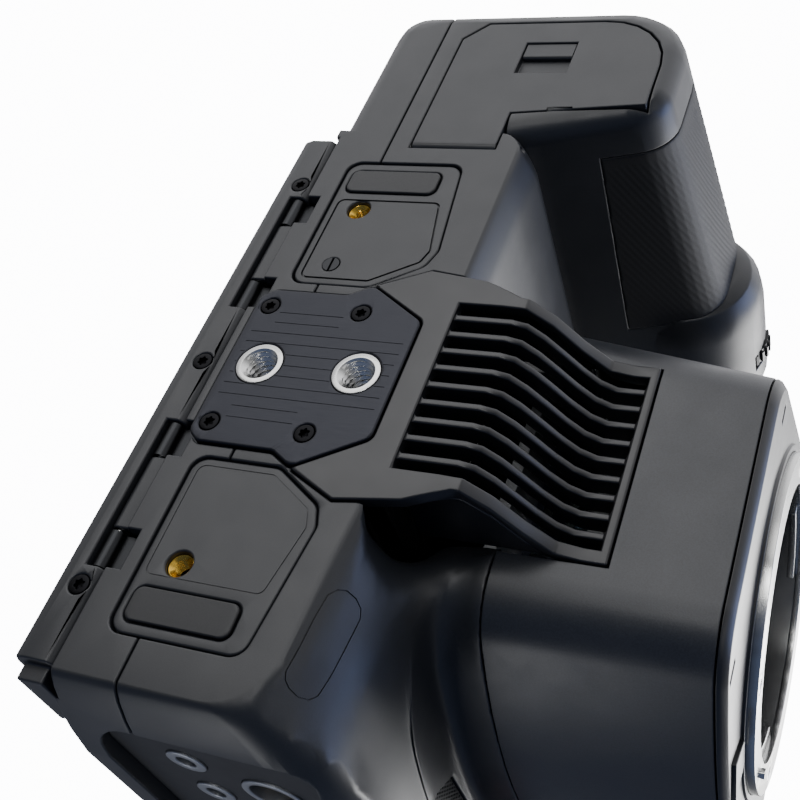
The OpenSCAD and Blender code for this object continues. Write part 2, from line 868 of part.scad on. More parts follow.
module front_plate() {
    color("#2b2d31") difference() {
        union() {
            loft([section_ring(plate_bevel, box_tuck_front, -plate_front),
                  section_ring(plate_bevel / 4, box_tuck_front, -box_front - plate_t / 2),
                  section_ring(0, box_tuck_front, -box_front)]);
            rod_y(-plate_front - ring_seat_t, -plate_front + cut, 0, axis_h, ring_seat_r);
            lens_tube(throat_r + skirt_t + ring_screw_r + wall, throat_r + skirt_t,
                      -box_front - cut, -box_front + skirt_len);
        }
        rod_y(-flange_front, -box_front + skirt_len + cut, 0, axis_h, throat_r + skirt_t + pin_fit);
        rod_y(-flange_front, -plate_front, 0, axis_h, ring_r + pin_fit);
        release_key(seam, -flange_front, -box_front + cut);
        ring_screw_holes();
        ring_rod(lock_angle, -flange_front, -box_front + skirt_len + cut, lock_r + pin_fit);
        for (p = [eyelet_grip, eyelet_port])
            translate([p.x, -plate_front - ring_seat_t, p.y])
                block([-eyelet_l / 2, 0, -eyelet_w / 2],
                      [eyelet_l / 2, ring_seat_t + eyelet_depth, eyelet_w / 2]);
    }
}

module ring_screw_holes() {
    for (a = ring_screw_angles)
        ring_rod(a, -flange_front - cut, -box_front + ring_screw_len, ring_screw_r + pin_fit);
}

module bayonet_ring() {
    color("#d9dadc") {
        difference() {
            union() {
                lens_tube(ring_r, throat_r, -flange_front, -plate_front);
                lens_tube(throat_r + skirt_t, throat_r, -plate_front - skin, -plate_front + skirt_len);
            }
            rod_y(lip_t - flange_front, -plate_front + skirt_len + cut, 0, axis_h, throat_r + lip_step);
            ring_screw_holes();
            for (a = ring_screw_angles)
                ring_rod(a, -flange_front - cut, -flange_front + ring_screw_head_t + 2 * pin_fit,
                         ring_screw_head + pin_fit);
            ring_rod(lock_angle, -flange_front - cut, -plate_front + cut, lock_r + pin_fit);
        }
        for (i = [0 : lug_count - 1])
            translate([0, -flange_front + lug_set + lug_t, axis_h]) rotate([90, 0, 0])
                linear_extrude(lug_t) polygon(concat(
                    arc([0, 0], lug_r, lug_start_angle + 360 / lug_count * i,
                        lug_start_angle + lug_angle + 360 / lug_count * i),
                    arc([0, 0], throat_r + skirt_t / 2, lug_start_angle + lug_angle + 360 / lug_count * i,
                        lug_start_angle + 360 / lug_count * i)));
    }
}

module ring_screws() {
    color("#c9cacc") for (a = ring_screw_angles)
        translate([ring_screw_circle * cos(a), -flange_front, axis_h + ring_screw_circle * sin(a)])
            rotate([-90, 0, 0]) difference() {
                union() {
                    translate([0, 0, pin_fit]) cylinder(h = ring_screw_head_t, r = ring_screw_head);
                    cylinder(h = ring_screw_len, r = ring_screw_r);
                }
                translate([-ring_screw_head, -pin_fit, -cut])
                    cube([2 * ring_screw_head, 2 * pin_fit, cut + ring_screw_head_t / 2]);
            }
}

module lock_pin() {
    color("#c2c4c6")
        ring_rod(lock_angle, -flange_front - lock_proud, -flange_front - lock_proud + lock_len, lock_r);
}

// Outline of the lens release key, in x and z, grown by g
module release_key(g, y0, y1) {
    translate([0, 0, axis_h]) rotate([0, -key_angle, 0])
        prism_y([[key_in - g, -key_in_w / 2 - g], [key_out + g, -key_out_w / 2 - g],
                 [key_out + g, key_out_w / 2 + g], [key_in - g, key_in_w / 2 + g]], y0, y1);
}
// A rod parallel to the optical axis, on the circle of the ring's screws
module ring_rod(a, y0, y1, r) {
    rod_y(y0, y1, ring_screw_circle * cos(a), axis_h + ring_screw_circle * sin(a), r);
}
module release_button() {
    color("#24262a") release_key(0, -plate_front - key_proud, -plate_front - key_proud + key_depth);
}

module contact_block() {
    color("#1c1d20") translate([0, -plate_front + contact_back + contact_t, axis_h]) rotate([90, 0, 0])
        linear_extrude(contact_t) polygon(concat(
            arc([0, 0], contact_r_in, -90 - contact_angle, -90 + contact_angle),
            arc([0, 0], contact_r_out, -90 + contact_angle, -90 - contact_angle)));
}

module throat_baffle() {
    color("#161719") difference() {
        union() {
            lens_tube(throat_r + skirt_t, baffle_front_r - baffle_t,
                      -plate_front + skirt_len + baffle_gap, -plate_front + skirt_len + baffle_gap + baffle_t);
            lens_tube(baffle_front_r, baffle_front_r - baffle_t,
                      -plate_front + skirt_len + baffle_gap, -baffle_back);
            rod_y(-baffle_back - baffle_t, -baffle_back, 0, axis_h, baffle_front_r);
        }
        translate([0, -baffle_back, axis_h])
            cube([baffle_window_w, 4 * baffle_t, baffle_window_h], center = true);
    }
}

module sensor_plate() {
    color("#8d9094") difference() {
        block([seam - neck_bore_half, -sensor_y + die_t + 2 * board_t, neck_bore_low + seam],
              [neck_bore_half - seam, -sensor_y + die_t + 2 * board_t + sensor_plate_t,
               shoulder_h - wall - seam]);
        for (x = [-sensor_w, sensor_w], z = [-sensor_h, sensor_h])
            rod_y(-sensor_y - cut, -sensor_y + die_t + 2 * board_t + sensor_plate_t + cut,
                  x, axis_h + z, screen_screw_r);
    }
}

module image_sensor() {
    color("#2c5a3c") translate([0, -sensor_y, axis_h]) {
        block([-sensor_w / 2, 0, -sensor_h / 2], [sensor_w / 2, die_t + skin, sensor_h / 2]);
        block([-sensor_w / 2 - die_frame, die_t, -sensor_h / 2 - die_frame],
              [sensor_w / 2 + die_frame, die_t + board_t + skin, sensor_h / 2 + die_frame]);
        block([-sensor_w, die_t + board_t, -sensor_h - 2 * die_frame],
              [sensor_w, die_t + 2 * board_t, sensor_h + 2 * die_frame]);
    }
}

module sensor_glass() {
    color("#7fb5a8") difference() {
        block([-sensor_w / 2 - die_frame, -sensor_y - sensor_glass_t, axis_h - sensor_h / 2 - die_frame],
              [sensor_w / 2 + die_frame, -sensor_y + die_t, axis_h + sensor_h / 2 + die_frame]);
        block([-sensor_w / 2 - die_t, -sensor_y - sensor_glass_t / 3, axis_h - sensor_h / 2 - die_t],
              [sensor_w / 2 + die_t, -sensor_y + die_t + cut, axis_h + sensor_h / 2 + die_t]);
    }
}

module filter_rails() {
    color("#b7babd") mirror_pair()
        rod_z(box_low + box_wall / 2 + pin_fit, box_top - box_wall / 2 - pin_fit,
              rail_x, -rail_y, rail_r);
}
module filter_carrier() {
    color("#5d6166") difference() {
        block([-carrier_half, -rail_y - carrier_t / 2, axis_h - filter_h / 2 - filter_rim],
              [carrier_half, -rail_y + carrier_t / 2, axis_h + filter_pitch + filter_h / 2 + filter_rim]);
        for (z = [0, filter_pitch]) translate([0, -rail_y, axis_h + z]) {
            cube([filter_w, filter_t + 2 * pin_fit, filter_h], center = true);
            cube([filter_w - 2 * filter_lip, carrier_t + cut, filter_h - 2 * filter_lip], center = true);
        }
        mirror_pair() rod_z(box_low, box_top, rail_x, -rail_y, rail_r + pin_fit);
    }
}
module filter_glass() {
    color("#6f7f86") for (z = [0, filter_pitch]) translate([0, -rail_y, axis_h + z])
        cube([filter_w - 2 * pin_fit, filter_t, filter_h - 2 * pin_fit], center = true);
}

module air_inlet() {
    color("#2a2d31") difference() {
        union() {
            intersection() {
                inlet_plan(-cut, box_low + box_wall, 0);
                prism_x(concat([[plate_apex_y + cut, inlet_flat]],
                               inlet_line(-plate_apex_y, inlet_front_y, 0),
                               inlet_line(inlet_front_y, -plate_apex_y, inlet_t),
                               [[plate_apex_y + cut, inlet_flat + inlet_t]]), -inlet_wing - cut,
                               inlet_wing + cut);
                difference() {
                    block([-inlet_wing - cut, -inlet_front_y - cut, -cut],
                          [inlet_wing + cut, plate_apex_y + cut, box_low + 2 * inlet_t]);
                    block([-inlet_window_half, -inlet_window_front, -cut],
                          [inlet_window_half, -inlet_window_back, box_low + 2 * inlet_t]);
                }
            }
            for (i = [0 : fin_count - 1]) translate([(i - (fin_count - 1) / 2) * fin_pitch, 0, 0])
                prism_x(inlet_sheet(inlet_window_back - cut, inlet_window_front + cut, fin_set, fin_deep),
                        -fin_w / 2, fin_w / 2);
            mirror_pair() prism_x(concat(
                    inlet_line(left_front + seam, inlet_top_y, inlet_t / 2),
                    [[-inlet_top_y, inlet_top], [-left_front - seam, inlet_top]]),
                inlet_half - inlet_skirt, inlet_half - skin);
        }
    }
}

module fan_rotor() {
    color("#1b1c1e") translate([0, fan_y, fan_low]) difference() {
        union() {
            cylinder(h = fan_t, r = fan_hub_r);
            for (i = [0 : fan_blades - 1]) rotate([0, 0, 360 / fan_blades * i])
                translate([fan_hub_r - cut, 0, 0]) rotate([25, 0, 0])
                    cube([fan_r - fan_hub_r, fan_blade_t, fan_t - fan_blade_t]);
        }
        translate([0, 0, -fan_t]) cylinder(h = 3 * fan_t, r = fan_bore + pin_fit);
    }
}
module heat_sink() {
    color("#9ea2a6") {
        block([-sink_half, board_y - 2 * sink_base, sink_low], [sink_half, board_y - fit, sink_high]);
        for (i = [0 : sink_fins - 1])
            translate([mix(-sink_half, sink_half - sink_fin_t, i / (sink_fins - 1)), 0, 0])
            block([0, sink_front, sink_low], [sink_fin_t, board_y - 2 * sink_base + skin, sink_high]);
        block([-fan_post_r, fan_y - fan_post_r, fan_low + 2 * fan_t],
              [fan_post_r, board_y - sink_base, fan_low + 2 * fan_t + sink_base]);
        rod_z(fan_low + fan_t + button_gap, fan_low + 2 * fan_t + skin, 0, fan_y, fan_post_r);
        rod_z(fan_low - fan_blade_t, fan_low + 2 * fan_t, 0, fan_y, fan_bore);
        block([-fan_post_r, board_y - 2 * sink_base, fan_low + 2 * fan_t],
              [fan_post_r, board_y - sink_base, sink_low + skin]);
    }
}
module main_board() {
    color("#1f5b3a") {
        difference() {
            block([-board_half, board_y, board_low], [board_half, board_y + board_t, board_high]);
            for (x = [-post_x, post_x], z = [board_low + 2 * post_r, board_high - 2 * post_r])
                rod_y(board_y - cut, board_y + board_t + cut, x, z, post_r / 2);
        }
        for (x = [-post_x, post_x], z = [board_low + 2 * post_r, board_high - 2 * post_r])
            rod_y(board_y + board_t - skin, body_back - cavity_back - pin_fit, x, z, post_r);
    }
}

module base_plate() {
    color("#3b3b3d") difference() {
        prism_z(plate_outline(0), 0, plate_h);
        for (y = [0, thread_pitch]) {
            rod_z(-cut, plate_h + cut, 0, y, insert_r + pin_fit);
            rod_z(plate_h - insert_flange_t, plate_h + cut, 0, y, insert_flange_r + pin_fit);
        }
        for (x = [-base_screw_x, base_screw_x], y = [base_screw_front, base_screw_back]) {
            rod_z(-cut, plate_h + cut, x, y, base_screw_r + pin_fit);
            rod_z(-cut, base_screw_head_t + pin_fit, x, y, base_screw_head + pin_fit);
        }
    }
}
module base_screws() {
    color("#1a1a1c") for (x = [-base_screw_x, base_screw_x], y = [base_screw_front, base_screw_back])
        torx_screw(x, y, base_screw_head, base_screw_head_t, base_screw_r, base_screw_len);
}
// A countersunk-style screw pointing up, with a driver recess in its lower face
module torx_screw(x, y, head_r, head_t, r, len) {
    translate([x, y, pin_fit]) difference() {
        union() {
            cylinder(h = head_t, r = head_r);
            cylinder(h = len, r = r);
        }
        translate([0, 0, -cut]) cylinder(h = cut + head_t / 2, r = head_r / 2.2, $fn = 6);
    }
}
module insert(len) {
    difference() {
        union() {
            cylinder(h = len, r = insert_r);
            translate([0, 0, plate_h - insert_flange_t]) cylinder(h = insert_flange_t, r = insert_flange_r);
        }
        translate([0, 0, -cut]) cylinder(h = len + 2 * cut, r = thread_r);
    }
}
module tripod_inserts() {
    color("#c8c9cb") for (y = [0, thread_pitch]) translate([0, y, 0]) insert(thread_len);
}

module foot_strip(g, z0, z1) {
    prism_z(rounded(rect(strip_x - strip_w / 2 - g, strip_front - g, strip_x + strip_w / 2 + g, strip_back + g),
                    strip_corner_r + g), z0, z1);
}
module foot_cover() {
    difference() {
        prism_z(cover_outline(0), floor_lift + cover_set, floor_lift + cover_set + cover_t);
        foot_strip(seam, -cut, floor_lift + strip_t + seam);
        rod_z(-cut, plate_h + bush_t + cover_t, bush_x, bush_y, bush_r + pin_fit);
    }
}
module grip_side_cover() {
    color("#2f3236") difference() {
        mirror([1, 0, 0]) foot_cover();
        rod_z(-cut, plate_h + bush_t + cover_t, -captive_x, captive_y, captive_r + pin_fit);
    }
}
module port_side_cover() { color("#2f3236") foot_cover(); }
module foot_strips() { color("#232528") mirror_pair() foot_strip(0, floor_lift, floor_lift + strip_t); }
module captive_screw() {
    color("#4a4c50") translate([-captive_x, captive_y, floor_lift + cover_set]) difference() {
        cylinder(h = cover_t + bush_t, r = captive_r);
        translate([-captive_r - cut, -captive_slot / 2, -cut])
            cube([2 * captive_r + 2 * cut, captive_slot, cut + captive_slot]);
    }
}
module brass_bushes() {
    color("#b8892f") mirror_pair() translate([bush_x, bush_y, floor_lift + cover_set + cover_t / 2])
        difference() {
            cylinder(h = bush_t, r = bush_r);
            translate([0, 0, -cut]) cylinder(h = bush_t + 2 * cut, r = bush_bore_r);
        }
}

module battery_door() {
    color("#313439") difference() {
        union() {
            door_plate(0, floor_lift, floor_lift + door_t);
            rod_y(-door_step_y, door_back, -hinge_x, hinge_z, barrel_r);
        }
        rod_y(-door_step_y - cut, door_back + cut, -hinge_x, hinge_z, door_pin_r + pin_fit);
        translate([-latch_x, -latch_y, 0])
            block([-latch_run / 2, -latch_w / 2, -cut], [latch_run / 2, latch_w / 2, floor_lift + latch_depth]);
    }
}
module door_pin() {
    color("#a9acae")
        rod_y(-door_step_y - 2 * door_t, door_back + door_t / 2, -hinge_x, hinge_z, door_pin_r);
}
module door_latch() {
    color("#3a3d42") translate([-latch_x - latch_run / 2 + latch_gap, -latch_y, floor_lift]) difference() {
        block([0, -latch_w / 2 + latch_gap, latch_depth - latch_tab_t - pin_fit],
              [latch_tab, latch_w / 2 - latch_gap, latch_depth - pin_fit]);
        translate([latch_tab, 0, latch_depth - latch_tab_t - pin_fit]) rotate([0, 45, 0])
            cube([latch_tab_t / 2, latch_w, latch_tab_t / 2], center = true);
    }
}
module battery() {
    color("#222326") difference() {
        translate([-bay_x, -bay_y, bay_low + battery_l / 2])
            cube([battery_t, battery_w, battery_l], center = true);
        for (y = [-1, 1])
            translate([-bay_x - battery_t / 2, -bay_y + y * battery_w / 2, bay_low + battery_l / 2])
                cube([bush_t, bush_t, battery_l / 2], center = true);
    }
}
module battery_terminal() {
    color("#1d1e20") translate([-bay_x, -bay_y, bay_low + battery_l + fit])
        block([-terminal_d / 2, -terminal_w / 2, 0], [terminal_d / 2, terminal_w / 2, terminal_t - fit]);
}

module card_hinge_rod(over, r) {
    rod_z(card_z0 - over, card_z1 + over, -grip_out + card_barrel_r, card_y0 + card_barrel_r, r);
}
module card_door() {
    color("#303338") difference() {
        union() {
            block([-grip_out, card_y0 + card_barrel_r, card_z0], [-grip_out + card_door_t, card_y1, card_z1]);
            card_hinge_rod(0, card_barrel_r);
            card_hinge_rod(card_door_t, card_pin_r);
        }
        block([-grip_out - cut, card_y1 - card_door_t, card_z0 + 2 * card_door_t],
              [-grip_out + card_door_t / 3, card_y1 - card_door_t / 2, card_z1 - 2 * card_door_t]);
    }
}
module card_reader() {
    color("#26282b") difference() {
        block([-grip_out + card_door_t + wall, (card_y0 + card_y1 - reader_d) / 2,
               card_z0 + card_door_t + reader_gap],
              [-grip_out + card_door_t + wall + reader_w, (card_y0 + card_y1 + reader_d) / 2,
               card_z1 - card_door_t - reader_gap]);
        for (y = [-1, 1]) translate([-grip_out + card_door_t + wall - cut,
                                     (card_y0 + card_y1) / 2 + y * slot_t - slot_t / 2,
                                     (card_z0 + card_z1 - slot_w) / 2])
            cube([slot_depth, slot_t, slot_w]);
    }
}

module tilt_plate() {
    color("#6d7074") {
        block([-tilt_half, body_back - tilt_set - tilt_t + seam, low_axis_z + seam],
              [tilt_half, body_back - tilt_set + seam, high_axis_z - 2 * ear_r]);
        mirror_pair() {
            for (s = [[pocket_in + lug_gap, lug_in - 2 * lug_gap],
                      [lug_out + 2 * lug_gap, pocket_out - lug_gap]])
                difference() {
                    union() {
                        rod_x(s[0], s[1], low_axis_y, low_axis_z, knuckle_r);
                        block([s[0], body_back - tilt_set - tilt_t + seam, low_axis_z + seam],
                              [s[1], low_axis_y, low_axis_z + knuckle_r]);
                    }
                    rod_x(s[0] - cut, s[1] + cut, low_axis_y, low_axis_z, knuckle_pin_r);
                }
            difference() {
                union() {
                    rod_x(ear_in, ear_out, high_axis_y, high_axis_z, ear_r);
                    block([ear_in, body_back - tilt_set - tilt_t + seam, high_axis_z - 2 * ear_r - cut],
                          [ear_out, body_back - tilt_set + seam, high_axis_z + ear_r / 2]);
                    block([ear_in, body_back - tilt_set - tilt_t + seam, high_axis_z - ear_r / 2],
                          [ear_out, high_axis_y, high_axis_z + ear_r / 2]);
                }
                rod_x(ear_in - cut, ear_out + cut, high_axis_y, high_axis_z, knuckle_pin_r);
            }
        }
    }
}
module hinge_pins() {
    color("#b4b7ba") mirror_pair() {
        rod_x(pocket_in + lug_gap, pocket_out - lug_gap, low_axis_y, low_axis_z, knuckle_pin_r);
        rod_x(ear_in - ear_pin_over, ear_out + ear_pin_over, high_axis_y, high_axis_z, knuckle_pin_r);
    }
}

// Side view of the screen housing: y and z, with its body-side edges cut back
screen_side = [[screen_y + screen_edge_r / 2, screen_low], [screen_y + screen_t - screen_edge_r, screen_low],
    [screen_y + screen_t - screen_edge_r / 4, screen_low + screen_edge_r / 4],
    [screen_y + screen_t, screen_low + screen_edge_r],
    [screen_y + screen_t, screen_low + screen_h - screen_edge_r],
    [screen_y + screen_t - screen_edge_r / 4, screen_low + screen_h - screen_edge_r / 4],
    [screen_y + screen_t - screen_edge_r, screen_low + screen_h],
    [screen_y + screen_ease, screen_low + screen_h],
    [screen_y, screen_low + screen_h - screen_ease], [screen_y, screen_low + screen_edge_r / 2]];
module screen_frame() {
    color("#2b2d31") difference() {
        union() {
            prism_x(screen_side, -screen_w / 2, screen_w / 2);
            block([screen_w / 2 - cut, screen_y + tab_w / 2, tab_low],
                  [screen_w / 2 + tab_w, screen_y + screen_t - glass_rim, tab_high]);
        }
        block([-lcd_w / 2 - pin_fit, screen_y + frame_wall, screen_low + (screen_h - lcd_h) / 2 - pin_fit],
              [lcd_w / 2 + pin_fit, screen_y + screen_t + cut, screen_low + (screen_h + lcd_h) / 2 + pin_fit]);
        block([-screen_w / 2 + glass_rim, screen_y + screen_t - glass_t, screen_low + glass_rim],
              [screen_w / 2 - glass_rim, screen_y + screen_t + cut, screen_low + screen_h - glass_rim]);
        mirror_pair() {
            block([pocket_in, screen_y - cut, screen_low - cut],
                  [pocket_out, screen_y + pocket_depth, screen_low + pocket_h]);
            block([ear_in - lug_gap, screen_y - cut, high_axis_z - ear_pocket_r],
                  [ear_out + lug_gap, high_axis_y + ear_pocket_r, screen_low + screen_h + cut]);
            rod_x(ear_in - ear_pin_over - lug_gap, ear_out + ear_pin_over + lug_gap,
                  high_axis_y, high_axis_z, knuckle_pin_r + pin_fit);
        }
        for (x = [-screen_screw_x, 0, screen_screw_x]) {
            rod_z(screen_low - cut, screen_low + screen_screw_len + cut,
                  x, screen_screw_y, screen_screw_r + pin_fit);
            rod_z(screen_low - cut, screen_low + screen_screw_head_t + pin_fit, x, screen_screw_y,
                  screen_screw_head + pin_fit);
        }
    }
}
module screen_glass() {
    color("#0c0d10")
        block([-screen_w / 2 + glass_rim + pin_fit, screen_y + screen_t - glass_t,
              screen_low + glass_rim + pin_fit],
              [screen_w / 2 - glass_rim - pin_fit, screen_y + screen_t,
              screen_low + screen_h - glass_rim - pin_fit]);
}
module lcd_panel() {
    color("#141a24")
        block([-lcd_w / 2, screen_y + screen_t - glass_t - lcd_t, screen_low + (screen_h - lcd_h) / 2],
              [lcd_w / 2, screen_y + screen_t - glass_t - pin_fit, screen_low + (screen_h + lcd_h) / 2]);
}
module screen_screws() {
    color("#1a1a1c") for (x = [-screen_screw_x, 0, screen_screw_x]) translate([0, 0, screen_low])
        torx_screw(x, screen_screw_y, screen_screw_head, screen_screw_head_t, screen_screw_r, screen_screw_len);
}

module record_button() { color("#a2262a") on_shoulder(record_at) button(record_r); }
module stills_button() { color("#2a2c30") on_shoulder(stills_at) button(mid_r); }
module iso_button() { color("#2a2c30") on_shoulder([-setting_x, setting_ys[0]]) button(small_r); }
module shutter_button() { color("#2a2c30") on_shoulder([-setting_x, setting_ys[1]]) button(small_r); }
module balance_button() { color("#2a2c30") on_shoulder([-setting_x, setting_ys[2]]) button(small_r); }
module front_record_button() { color("#a2262a") on_front() button(front_record_r); }
module function_button_a() { color("#2a2c30") on_hump(function_xs[0]) button(small_r); }
module function_button_b() { color("#2a2c30") on_hump(function_xs[1]) button(small_r); }
module function_button_c() { color("#2a2c30") on_hump(function_xs[2]) button(small_r); }
module menu_button() { color("#2a2c30") on_rear(rear_button_zs[0]) button(mid_r); }
module play_button() { color("#2a2c30") on_rear(rear_button_zs[1]) button(mid_r); }

module dial_wheel() {
    color("#1c1d20")
        translate([-dial_x, dial_y, dial_z]) {
            cylinder(h = dial_t, r = dial_r - dial_tooth, center = true);
            cylinder(h = 2 * dial_t - 2 * dial_gap, r = dial_hub_r, center = true);
            for (i = [0 : dial_teeth - 1]) rotate([0, 0, 360 / dial_teeth * i])
                translate([dial_r - dial_tooth, 0, 0])
                    cube([2 * dial_tooth, dial_tooth, dial_t - 2 * dial_gap], center = true);
        }
}
module power_switch() {
    color("#3c3f44") translate([switch_at.x, switch_at.y, shoulder_h - switch_depth + button_gap])
        block([-switch_w / 2, -switch_l / 2, 0], [switch_w / 2, switch_l / 2, switch_depth + switch_h]);
}

module sockets(g) {
    for (z = audio_zs) rod_x(port_out - port_set - socket_run, port_out - port_set + socket_proud,
                             audio_y, z, audio_r + g);
    for (z = jack_zs) rod_x(port_out - port_set - socket_run, port_out - port_set + socket_proud,
                          jack_y, z, jack_r + g);
    rod_x(port_out - port_set - socket_run, port_out - port_set + socket_proud, audio_y, power_z, power_r + g);
    for (s = [[hdmi_w, hdmi_h, hdmi_z], [usb_w, usb_h, usb_z]])
        block([port_out - port_set - socket_run, data_y - s[0] / 2 - g, s[2] - s[1] / 2 - g],
              [port_out - port_set + socket_proud, data_y + s[0] / 2 + g, s[2] + s[1] / 2 + g]);
}
module port_frame() {
    color("#1f2124") difference() {
        port_window(port_out - port_set - port_frame_t, port_out - port_set, -port_gap);
        sockets(pin_fit);
    }
}
module port_sockets() {
    color("#a8abae") difference() {
        sockets(0);
        for (z = audio_zs)
            rod_x(port_out - port_set - socket_depth, port_out, audio_y, z, audio_bore);
        for (z = jack_zs)
            rod_x(port_out - port_set - socket_depth, port_out, jack_y, z, jack_bore);
        rod_x(port_out - port_set - socket_depth, port_out, audio_y, power_z, power_bore);
        for (s = [[hdmi_w, hdmi_h, hdmi_z], [usb_w, usb_h, usb_z]])
            block([port_out - port_set - socket_depth, data_y - s[0] / 2 + shell_t, s[2] - s[1] / 2 + shell_t],
                  [port_out, data_y + s[0] / 2 - shell_t, s[2] + s[1] / 2 - shell_t]);
    }
}

module top_insert() {
    color("#c8c9cb") difference() {
        union() {
            rod_z(hump_h - thread_len, hump_h, 0, top_insert_y, insert_r);
            rod_z(hump_h - insert_flange_t, hump_h, 0, top_insert_y, insert_flange_r);
        }
        rod_z(hump_h - thread_len - cut, hump_h + cut, 0, top_insert_y, thread_r);
    }
}

module mic_plate(depth, g) {
    prism_y(rounded([[mic_x - mic_w / 2 - g, mic_low + mic_w - g], [mic_x + mic_w / 2 + g, mic_low - g],
                     [mic_x + mic_w / 2 + g, mic_high + g], [mic_x - mic_w / 2 - g, mic_high + g]],
                    mic_w / 4), g > 0 ? -port_front - neck_lead - neck_r
                    : -port_front + mic_set, -port_front + depth);
}
module mic_mesh() { color("#55585c") mic_plate(mic_set + mic_t - pin_fit, 0); }

front_shell();
rear_shell();
top_cover();
grip_rubber();
lens_housing();
front_plate();
bayonet_ring();
ring_screws();
lock_pin();
release_button();
contact_block();
throat_baffle();
sensor_plate();
image_sensor();
sensor_glass();
filter_rails();
filter_carrier();
filter_glass();
air_inlet();
fan_rotor();
heat_sink();
main_board();
base_plate();
base_screws();
tripod_inserts();
grip_side_cover();
port_side_cover();
foot_strips();
captive_screw();
brass_bushes();
battery_door();
door_pin();
door_latch();
battery();
battery_terminal();
card_door();
card_reader();
tilt_plate();
hinge_pins();
screen_frame();
screen_glass();
lcd_panel();
screen_screws();
record_button();
stills_button();
iso_button();
shutter_button();
balance_button();
front_record_button();
dial_wheel();
power_switch();
function_button_a();
function_button_b();
function_button_c();
menu_button();
play_button();
port_frame();
port_sockets();
top_insert();
mic_mesh();
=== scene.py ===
# %% [markdown]
# # A compact digital cinema camera, seen from below
# The camera's construction is already made, with every piece at its real size. This lesson
# dresses it: rounded edges that catch the light, moulded plastic with its fine texture,
# ribbed rubber, turned steel, and the small things that a plain solid lacks, such as
# screw recesses and threads. The first cell loads the pieces and keeps the object's box.

import json
import math

import bmesh
import bpy
from mathutils import Matrix, Vector
from mathutils.bvhtree import BVHTree

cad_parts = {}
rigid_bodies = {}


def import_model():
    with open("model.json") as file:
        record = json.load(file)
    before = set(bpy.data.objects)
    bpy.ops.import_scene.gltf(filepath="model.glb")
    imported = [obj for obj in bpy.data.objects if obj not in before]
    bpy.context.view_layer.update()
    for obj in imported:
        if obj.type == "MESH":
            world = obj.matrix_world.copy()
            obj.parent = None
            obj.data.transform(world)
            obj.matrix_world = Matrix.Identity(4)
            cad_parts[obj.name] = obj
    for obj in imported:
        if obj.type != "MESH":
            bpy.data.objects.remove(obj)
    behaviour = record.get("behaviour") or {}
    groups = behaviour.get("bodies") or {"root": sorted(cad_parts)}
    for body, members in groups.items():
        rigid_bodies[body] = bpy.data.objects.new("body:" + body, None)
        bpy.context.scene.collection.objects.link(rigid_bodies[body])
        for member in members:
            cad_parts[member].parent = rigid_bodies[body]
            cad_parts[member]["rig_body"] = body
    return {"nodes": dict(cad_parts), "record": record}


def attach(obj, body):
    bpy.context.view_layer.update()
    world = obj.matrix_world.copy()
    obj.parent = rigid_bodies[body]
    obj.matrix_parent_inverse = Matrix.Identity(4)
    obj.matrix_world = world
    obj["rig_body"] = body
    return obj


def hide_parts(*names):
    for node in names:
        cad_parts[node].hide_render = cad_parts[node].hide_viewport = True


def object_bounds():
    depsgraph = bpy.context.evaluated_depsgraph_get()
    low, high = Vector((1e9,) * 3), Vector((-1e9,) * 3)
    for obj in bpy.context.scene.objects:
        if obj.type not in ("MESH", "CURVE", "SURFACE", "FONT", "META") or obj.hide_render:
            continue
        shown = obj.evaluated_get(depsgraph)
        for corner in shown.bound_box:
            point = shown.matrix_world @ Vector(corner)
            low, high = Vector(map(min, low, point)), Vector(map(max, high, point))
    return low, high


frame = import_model()
CAD_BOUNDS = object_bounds()
NODES = frame["nodes"]
MM = 0.001
print("pieces in the frame:", len(NODES))

# %% [markdown]
# The photograph was taken from below and in front, on the port side, with the camera body
# upside down. The eye stays where the photographer's was, and its three axes are written
# out, because no horizon in the picture gives them. The lens is a little longer than a
# normal one.

# %% The photographer's eye
EYE_MM = (115.5, -94.9, -150.9)
EYE_RIGHT = Vector((-0.31556, -0.91687, 0.24447))
EYE_DOWN = Vector((0.77753, -0.10216, 0.62050))
EYE_FORWARD = Vector((-0.54394, 0.38589, 0.74513))
PICTURE_PX = 800
FOCAL_PX = 1199.94
CENTRE_PX = (433.26, 406.12)
SENSOR_MM = 36
NEAREST_MM = 10

camera_data = bpy.data.cameras.new("photo_camera")
camera_data.sensor_width = SENSOR_MM
camera_data.lens = FOCAL_PX / PICTURE_PX * SENSOR_MM
camera_data.shift_x = (PICTURE_PX / 2 - CENTRE_PX[0]) / PICTURE_PX
camera_data.shift_y = (CENTRE_PX[1] - PICTURE_PX / 2) / PICTURE_PX
camera_data.clip_start = NEAREST_MM * MM
camera = bpy.data.objects.new("photo_camera", camera_data)
bpy.context.scene.collection.objects.link(camera)
eye_turn = Matrix((EYE_RIGHT, -EYE_DOWN, -EYE_FORWARD)).transposed()
camera.matrix_world = Matrix.Translation(Vector(EYE_MM) * MM) @ eye_turn.to_4x4()
bpy.context.scene.camera = camera
print("lens %.1f mm" % camera_data.lens)

# %% [markdown]
# Each finish is a small graph of nodes. One helper adds a node, sets its values and joins
# its inputs, and another turns the hex colours that people write into the linear values
# that light is computed with. The numbers in that one are the sRGB standard's own.

# %% Colours and nodes
def linear(hex_colour):
    """An sRGB hex colour as linear red, green, blue and alpha."""
    values = [int(hex_colour[i:i + 2], 16) / 255 for i in (1, 3, 5)]
    return [v / 12.92 if v <= 0.04045 else ((v + 0.055) / 1.055) ** 2.4 for v in values] + [1]


